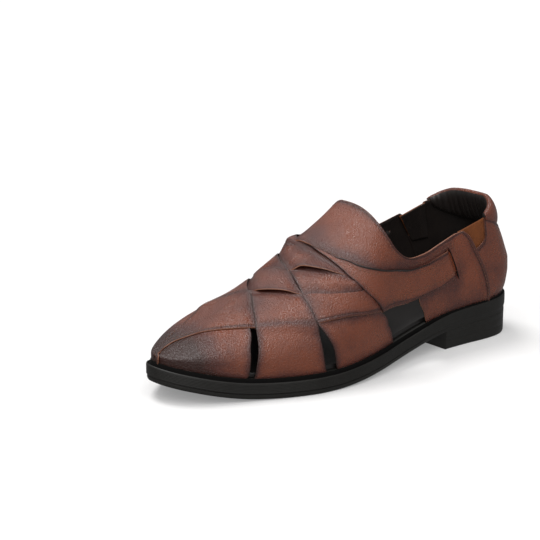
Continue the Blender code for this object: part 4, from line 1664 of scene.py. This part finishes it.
    def counter_shade(self, rows: Array, shares: Array) -> Array:
        """Burnish of the counter, in rows and shares: darker at the sole."""
        return self.FOOT_BURNISH * ease((self.FOOT_SHARE - shares) / self.FOOT_SHARE) + self.COUNTER_BURNISH


class Stretched(Panel):
    """A panel whose lines are in signed rows and shares."""

    ROW_LENGTH, SHARE_LENGTH = 13.0, 120.0  # of leather in a row and in a whole rib, about

    def flat(self, along: Array, across: Array) -> Array:
        """Points of the panel, blended from lines measured in the heel's own units.

        Args:
            along: shares of the way from start to end.
            across: shares of the way from low to high.

        Returns:
            The points, in signed rows and shares.
        """
        scale = np.array([self.ROW_LENGTH, self.SHARE_LENGTH / PLACE_SCALE])
        held = (self.low, self.high, self.start, self.end)
        self.low, self.high, self.start, self.end = (line * scale for line in held)
        flat = super().flat(along, across) / scale
        self.low, self.high, self.start, self.end = held
        return flat


@dataclass
class Collar:
    """Padded roll round the top of the heel, with an elastic gore let in before each end."""

    stuff: Stuff
    seam: Seam

    # station, lowest and highest point, thickness
    OUTER_ROLL = ((3.0, 76.4, 101.2, 8.4), (8.0, 78.0, 101.9, 8.3), (14.0, 80.2, 100.6, 8.0),
                  (22.0, 83.6, 97.2, 7.2), (30.0, 86.2, 94.4, 6.0), (34.0, 87.2, 93.0, 4.6),
                  (35.6, 88.2, 91.8, 2.2), (36.3, 89.6, 90.6, 0.6))
    INNER_ROLL = ((3.0, 76.4, 101.2, 8.4), (8.0, 77.8, 100.2, 8.2), (14.0, 79.8, 97.8, 7.6),
                  (20.0, 82.6, 95.2, 6.8), (24.5, 85.4, 93.4, 5.4), (26.8, 87.4, 92.2, 3.8),
                  (27.8, 88.6, 91.2, 1.8), (28.3, 89.6, 90.4, 0.5))
    PUCKERS = (             # share of the roll's length, depth of the crease in its lining
        (0.07, 0.5), (0.12, 0.7), (0.19, 0.9), (0.24, 0.5), (0.30, 0.9), (0.37, 0.6), (0.42, 1.0),
        (0.49, 0.7), (0.54, 1.1), (0.60, 0.6), (0.66, 0.9), (0.71, 0.6), (0.78, 0.8), (0.86, 0.6),
        (0.93, 0.5),
    )
    PUCKER_WIDTH = 1.3
    PUCKER_FULLNESS = 0.7   # how soon a crease is as deep as it gets, on the way across the lining
    DEEPEST = 0.25          # most that a crease takes of the roll's thickness
    PROUD = 1.0             # how far the roll swells past the leather below
    LEAN = 1.5              # how much further its top stands out
    LENGTH_STEPS, TURN_STEPS = 240, 48
    WRAP = 28               # where the leather ends, of the steps round the roll
    BURNISH = 0.25

    # (station, height) of the gore's lower and upper corner, behind and in front
    GORE_BACK = ((35.0, 62.0), (34.0, 89.2))
    GORE_FRONT = ((51.0, 62.0), (66.5, 82.6))
    GORE_STEPS, RIBS, RIB_STEPS = 24, 24, 170
    RIB_HEIGHT = 0.22
    GORE_SINK = 1.5         # how far it lies inside the leather's surface
    GORE_WALL = 1.0

    def build(self) -> list[Object]:
        """Build the roll and the gores.

        Returns:
            The pieces.
        """
        return [self.roll(), self.gore(LATERAL), self.gore(MEDIAL)]

    def sweep(self) -> tuple[Array, Array]:
        """Sweep an oval round the heel.

        Returns:
            The grid of its points, one row for each oval, and the thickness of each oval.
        """
        inner_end, outer_end = (float(LAST.rows_at(np.array(roll[-1][0])))
                                for roll in (self.INNER_ROLL, self.OUTER_ROLL))
        rows = np.linspace(-inner_end, outer_end, self.LENGTH_STEPS + 1)
        turns = np.linspace(-0.5 * math.pi, 1.5 * math.pi, self.TURN_STEPS + 1)
        stations = LAST.read("station", np.abs(rows))
        side = np.where(rows >= 0, LATERAL, MEDIAL)
        low, high, thick = (np.where(rows >= 0, *(knots([(knot[0], knot[index]) for knot in roll], stations)
                                                  for roll in (self.OUTER_ROLL, self.INNER_ROLL)))
                            for index in (1, 2, 3))
        body = np.zeros((len(rows), len(turns), 3))
        for index, turn in enumerate(turns):
            height = 0.5 * (low + high) + 0.5 * (high - low) * math.sin(turn)
            out = self.PROUD + 0.5 * (self.LEAN * (1.0 + math.sin(turn)) + thick * (math.cos(turn) - 1.0))
            share = LAST.share_at(np.abs(rows), height, side)
            base = LAST.rib(np.abs(rows), share, side)
            near = np.array([LAST.beside(abs(row), one, np.array(1.0), np.array(0.0))
                             - LAST.beside(abs(row), one, np.array(0.0), np.array(0.0))
                             for row, one in zip(rows, side)])
            body[:, index] = base + near * out[:, None]
        return body, thick

    def roll(self) -> Object:
        """Build the padded roll, creased across its lining.

        Returns:
            The piece.
        """
        body, thick = self.sweep()
        centre = body[:, :-1].mean(axis=1, keepdims=True)
        run = np.concatenate([[0.0], np.cumsum(np.linalg.norm(np.diff(centre[:, 0], axis=0), axis=1))])
        lining = (np.arange(self.TURN_STEPS + 1) - self.WRAP) / (self.TURN_STEPS - self.WRAP)
        slack = np.sin(math.pi * np.clip(lining, 0.0, 1.0)) ** self.PUCKER_FULLNESS
        crease = sum(depth * np.exp(-((run - share * run[-1]) / self.PUCKER_WIDTH) ** 2)
                     for share, depth in self.PUCKERS)
        deep = np.minimum(crease, self.DEEPEST * thick)[:, None] * slack[None, :]
        body = body + unit(centre - body) * deep[..., None]
        outward = body - centre
        mesh = Mesh()
        mesh.add_grid(body[:, :self.WRAP + 1], outward[:, :self.WRAP + 1], self.BURNISH)
        mesh.add_grid(body[:, self.WRAP:], outward[:, self.WRAP:], material=LINING)
        mesh.weld()
        piece = mesh.finish("heel_collar_pad", self.stuff.leather, self.stuff.lining)
        return piece

    def gore(self, side: int) -> Object:
        """Build the ribbed elastic let in behind the quarter.

        Args:
            side: its side of the foot.

        Returns:
            The piece.
        """
        rise, sweep = np.meshgrid(np.linspace(0, 1, self.GORE_STEPS), np.linspace(0, 1, self.RIB_STEPS),
                                  indexing="ij")
        low, high = ([back + (front - back) * sweep for back, front in zip(*corners)]
                     for corners in zip(self.GORE_BACK, self.GORE_FRONT))
        stations, heights = (foot + (head - foot) * rise for foot, head in zip(low, high))
        rows = LAST.rows_at(stations)
        places = (1 - LAST.share_at(rows, heights, np.full(rows.shape, side))) * side
        outward = LAST.outward(stations, places)
        ribs = self.RIB_HEIGHT * np.abs(np.sin(sweep * math.pi * self.RIBS))
        mesh = Mesh()
        mesh.add_grid(LAST.lay(stations, places) + outward * (ribs - self.GORE_SINK)[..., None], outward)
        piece = mesh.finish(f"elastic_gore_{SIDE_NAME[side]}", self.stuff.elastic, self.stuff.lining,
                            self.stuff.elastic, wall=self.GORE_WALL)
        return piece


# ---- sole

Ring = tuple[Array, Array]  # distance out from the feather line and height, for each row of the last


@dataclass
class Bottom:
    """Outsole, heel block, top lift and insole, all on the shoe's own outline."""

    stuff: Stuff

    CREASE_RINGS = 4        # of the outsole's profile
    CAP_STEPS = 12          # across its flat faces
    ROW_STEPS = 10          # from one section of the last to the next
    WELD, SHARP = 0.02, 45.0  # points that are merged in mm, and corners kept in degrees
    # the outsole's edge: it is plainer, higher and more upright at the heel than at the forepart
    HEEL_TO, HEEL_FADES = 60.0, 50.0
    PLAIN, UPRIGHT, RAISED = 0.8, 1.2, 1.3
    RIM_ROOM, CREASE_ROOM = 0.6, 0.1  # from the rim and from the crease up to the seat
    OUT = 3.0               # furthest out
    GROOVES = (4.3, 9.9, 0.93, 0.16)  # first and last height, pitch and depth
    GROOVE_TOP, GROOVE_FOOT = 0.6, 0.8  # shares of the pitch that a groove runs in between

    # shares of the height, from the ground up, as (distance out, share)
    HEEL_SHAPE = ((1.2, 0.0), (1.3, 0.02), (1.3, 0.3), (1.32, 0.6), (1.24, 0.63), (1.34, 0.66), (1.4, 0.9),
                  (1.4, 0.985), (1.3, 1.0))
    LIFT_SHAPE = ((0.4, 0.0), (1.0, 0.05), (1.25, 0.16), (1.3, 0.5), (1.3, 0.98), (1.22, 1.0))
    HEEL_GAP = 0.05         # between the heel block and its neighbours
    # (distance out, height above the feather line)
    INSOLE_SHAPE = ((-2.5, 0.0), (-2.5, 2.4), (-2.9, 2.85), (-3.5, 3.0))

    def build(self) -> list[Object]:
        """Build every piece of it.

        Returns:
            The pieces.
        """
        tip = LAST.tip
        breast = float(LAST.rows_at(np.array(BREAST_STATION)))
        rubber = self.stuff.rubber
        return [
            self.solid("rubber_outsole", tip, self.sole_profile, rubber, self.CREASE_RINGS),
            self.solid("rubber_heel", breast, self.heel_profile, rubber),
            self.solid("rubber_top_lift", breast, self.lift_profile, rubber),
            self.solid("covered_insole", tip, self.insole_profile, self.stuff.insole),
        ]

    def solid(self, name: str, end: float, profile: Callable[[Array], list[Ring]],
              material: Material, crease: int = 0) -> Object:
        """Build a solid with the shoe's outline.

        Args:
            name: its name.
            end: row of the last that it ends at.
            profile: the rings of its edge, from the ground up.
            material: its material.
            crease: how many of its last rings are the crease below the upper, given the painted-shade
                rubber.

        Returns:
            The piece.
        """
        rows = np.linspace(0.0, end, int(end * self.ROW_STEPS) + 1)
        mesh = Mesh()
        walls = {}
        for side in (LATERAL, MEDIAL):
            rings = [LAST.beside(rows, side, out + 0 * rows, height + 0 * rows)
                     for out, height in profile(rows)]
            walls[side] = np.stack(rings, axis=1)
        for side in (LATERAL, MEDIAL):
            outward = walls[side] - 0.5 * (walls[LATERAL] + walls[MEDIAL])
            outward[..., 2] = 0
            rings = walls[side].shape[1] - crease
            mesh.add_grid(walls[side][:, :rings], outward[:, :rings])
            # the crease rings take the second material, near-black rubber that paints the crease's shade
            if crease:
                mesh.add_grid(walls[side][:, rings - 1:], outward[:, rings - 1:], material=1)
        share = np.linspace(0, 1, self.CAP_STEPS + 1)[None, :, None]
        for place, up in ((0, -1.0), (-1, 1.0)):
            cap = walls[LATERAL][:, place][:, None] * (1 - share) + walls[MEDIAL][:, place][:, None] * share
            mesh.add_grid(cap, np.zeros_like(cap) + np.array([0, 0, up]))
        if end < LAST.tip:
            share = np.linspace(0, 1, self.CAP_STEPS + 1)[:, None, None]
            face = walls[LATERAL][-1][None] * (1 - share) + walls[MEDIAL][-1][None] * share
            mesh.add_grid(face, np.zeros_like(face) + np.array([0, -1.0, 0]))
        mesh.weld(self.WELD)
        piece = mesh.finish(name, material, self.stuff.crease, sharp=self.SHARP)
        return piece

    def grooves(self) -> list[tuple[float, float]]:
        """Draw the fine level grooves round the outsole.

        Returns:
            Distance out and height above the ground side, from the lowest groove up.
        """
        first, last, pitch, depth = self.GROOVES
        pairs = []
        for step in range(int((last - first) / pitch)):
            foot = first + step * pitch
            pairs += [(self.OUT, foot), (self.OUT, foot + pitch * self.GROOVE_TOP),
                      (self.OUT - depth, foot + pitch * self.GROOVE_FOOT)]
        return pairs + [(self.OUT, last)]

    def sole_profile(self, rows: Array) -> list[Ring]:
        """Draw the edge of the outsole from the ground up.

        Args:
            rows: rows of the last.

        Returns:
            Its rings; the last ones are the crease.
        """
        heel = 1 - ease((LAST.read("station", rows) - self.HEEL_TO) / self.HEEL_FADES)
        seat = LAST.feather_height(rows) - GAP
        under = LAST.under(rows)
        rim = np.minimum(under + SOLE_THICKNESS + self.RAISED * heel, seat - self.RIM_ROOM)
        step = 1 - self.PLAIN * heel
        inwards = self.UPRIGHT * heel
        # the ground side, its rounded edge, and the step above the welt
        edge = [(-2.0, under), (1.2 + 1.1 * heel, under), (1.9 + 0.6 * heel, under + 0.2 - 0.1 * heel),
                (2.3 + 0.3 * heel, under + 0.8), (2.5, under + 1.6), (2.5, under + 2.7),
                (2.9 - 0.8 * step, under + 3.05), (2.9 - step, under + 3.4),
                (2.9 - 0.6 * step, under + 3.7), (2.9, under + 3.9)]
        edge += [(self.OUT - (self.OUT - out) * step, under + height) for out, height in self.grooves()]
        edge += [(2.9, rim - 0.5), (2.65, rim - 0.12), (2.2, rim)]
        crease = [(1.1, rim - 0.9), (0.7, rim - 0.7), (0.4, np.minimum(rim + 0.8, seat - self.CREASE_ROOM)),
                  (0.2, seat)]
        return [(out - inwards, height) for out, height in edge] + crease

    def heel_profile(self, rows: Array) -> list[Ring]:
        """Edge of the heel block."""
        low, high = LIFT_HEIGHT + self.HEEL_GAP, LAST.under(rows) - self.HEEL_GAP
        return [(out, low + (high - low) * share) for out, share in self.HEEL_SHAPE]

    def lift_profile(self, rows: Array) -> list[Ring]:
        """Edge of the heel's top lift."""
        return [(out, LIFT_HEIGHT * share + 0 * rows) for out, share in self.LIFT_SHAPE]

    def insole_profile(self, rows: Array) -> list[Ring]:
        """Edge of the insole."""
        low = LAST.feather_height(rows)
        return [(out, low + height) for out, height in self.INSOLE_SHAPE]


# ---- studio

@dataclass(frozen=True)
class Softbox:
    """A wide soft light, the same all over the floor."""

    name: str
    towards: tuple[float, float, float]  # the way to it from the shoe
    strength: float
    spread: float           # how wide it looks from the shoe, in degrees

    def build(self) -> None:
        """Hang it."""
        light = bpy.data.lights.new(self.name, "SUN")
        light.energy = self.strength
        light.angle = math.radians(self.spread)
        stand(self.name, light).rotation_euler = facing(self.towards)


def facing(towards: Sequence[float]) -> Euler:
    """Rotation of a light or a camera that stands on this side of what it faces."""
    return Vector(towards).to_track_quat("Z", "Y").to_euler()


@dataclass
class Studio:
    """Pale floor, soft lights and the camera."""

    azimuth: float = 52.5
    elevation: float = 14.94
    distance: float = 1.2752
    target: tuple[float, float, float] = (-0.1233, -0.0765, 0.030)
    lens: float = 113.33

    FLOOR_SIZE = 6.0        # half its width, in metres
    FLOOR_GRAIN = Grain(30.0)
    FLOOR_ROUGHNESS, FLOOR_GLOW = 0.9, 0.24
    SURROUND_STRENGTH = 0.3
    SENSOR, SIGHT = 36.0, 20.0  # the camera's sensor in mm, and how far it sees in metres
    WHITE = (1.0, 1.0, 1.0, 1.0)
    SOFTBOXES = (
        Softbox("overhead_softbox", (-0.33, -0.12, 0.93), 2.4, 26.0),
        Softbox("front_softbox", (0.40, -0.45, 0.80), 3.0, 80.0),
    )

    def build(self) -> None:
        """Build it all."""
        bpy.context.scene.view_settings.view_transform = "Standard"
        self.floor()
        self.world()
        for softbox in self.SOFTBOXES:
            softbox.build()
        self.camera()

    def floor(self) -> None:
        """Lay a plain pale floor."""
        # matt white board, hardly uneven, that glows a little so that it stays pale under the shoe
        material, tree, shader, place = new_material("painted_board")
        patches = add_node(tree, "TexNoise", self.FLOOR_GRAIN.inputs(place))
        colour = add_node(tree, "Mix", {0: patches, 6: linear_colour("#B6B5B4"),
                                        7: linear_colour("#BAB9B9")}, output=2, data_type="RGBA")
        connect(tree, shader, {"Base Color": colour, "Roughness": self.FLOOR_ROUGHNESS,
                               "Emission Color": self.WHITE, "Emission Strength": self.FLOOR_GLOW})
        grid = bmesh.new()
        bmesh.ops.create_grid(grid, x_segments=1, y_segments=1, size=self.FLOOR_SIZE)
        data = bpy.data.meshes.new("floor")
        grid.to_mesh(data)
        grid.free()
        data.materials.append(material)
        floor = stand("floor", data)
        floor.visible_glossy = False  # the board is matt: the leather mirrors the dim room instead

    def world(self) -> None:
        """Put an even white surround round it."""
        world = bpy.data.worlds.new("surround")
        world.use_nodes = True
        connect(world.node_tree, world.node_tree.nodes["Background"],
                {"Color": self.WHITE, "Strength": self.SURROUND_STRENGTH})
        bpy.context.scene.world = world

    def camera(self) -> None:
        """Set up the camera: a long lens from the front, on the outer side."""
        turn, rise = math.radians(self.azimuth), math.radians(self.elevation)
        away = Vector((math.sin(turn) * math.cos(rise), -math.cos(turn) * math.cos(rise), math.sin(rise)))
        data = bpy.data.cameras.new("camera")
        data.lens, data.sensor_width, data.clip_end = self.lens, self.SENSOR, self.SIGHT
        camera = stand("camera", data)
        camera.location = Vector(self.target) + away * self.distance
        camera.rotation_euler = facing(away)
        bpy.context.scene.camera = camera


def main() -> None:
    """Build the shoe on its model, then the studio."""
    logging.basicConfig(level=logging.INFO, format="%(message)s")
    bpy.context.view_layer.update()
    stuff = Stuff()
    seam = Seam()
    pieces = {
        "weave": Weave(stuff, seam).build(),
        "quarters": Quarters(stuff, seam).build(),
        "collar": Collar(stuff, seam).build(),
        "bottom": Bottom(stuff).build(),
    }
    stitches = seam.finish("stitches", stuff.thread)
    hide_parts("upper")
    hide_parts("heel_collar")
    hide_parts("gore_lateral")
    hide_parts("gore_medial")
    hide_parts("outsole")
    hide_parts("heel_block")
    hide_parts("heel_top_lift")
    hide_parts("insole")
    for group, made in pieces.items():
        for piece in made:
            log.info("%s: %s, %d faces", group, piece.name, len(piece.data.polygons))
    Studio().build()


if __name__ == "__main__":
    main()
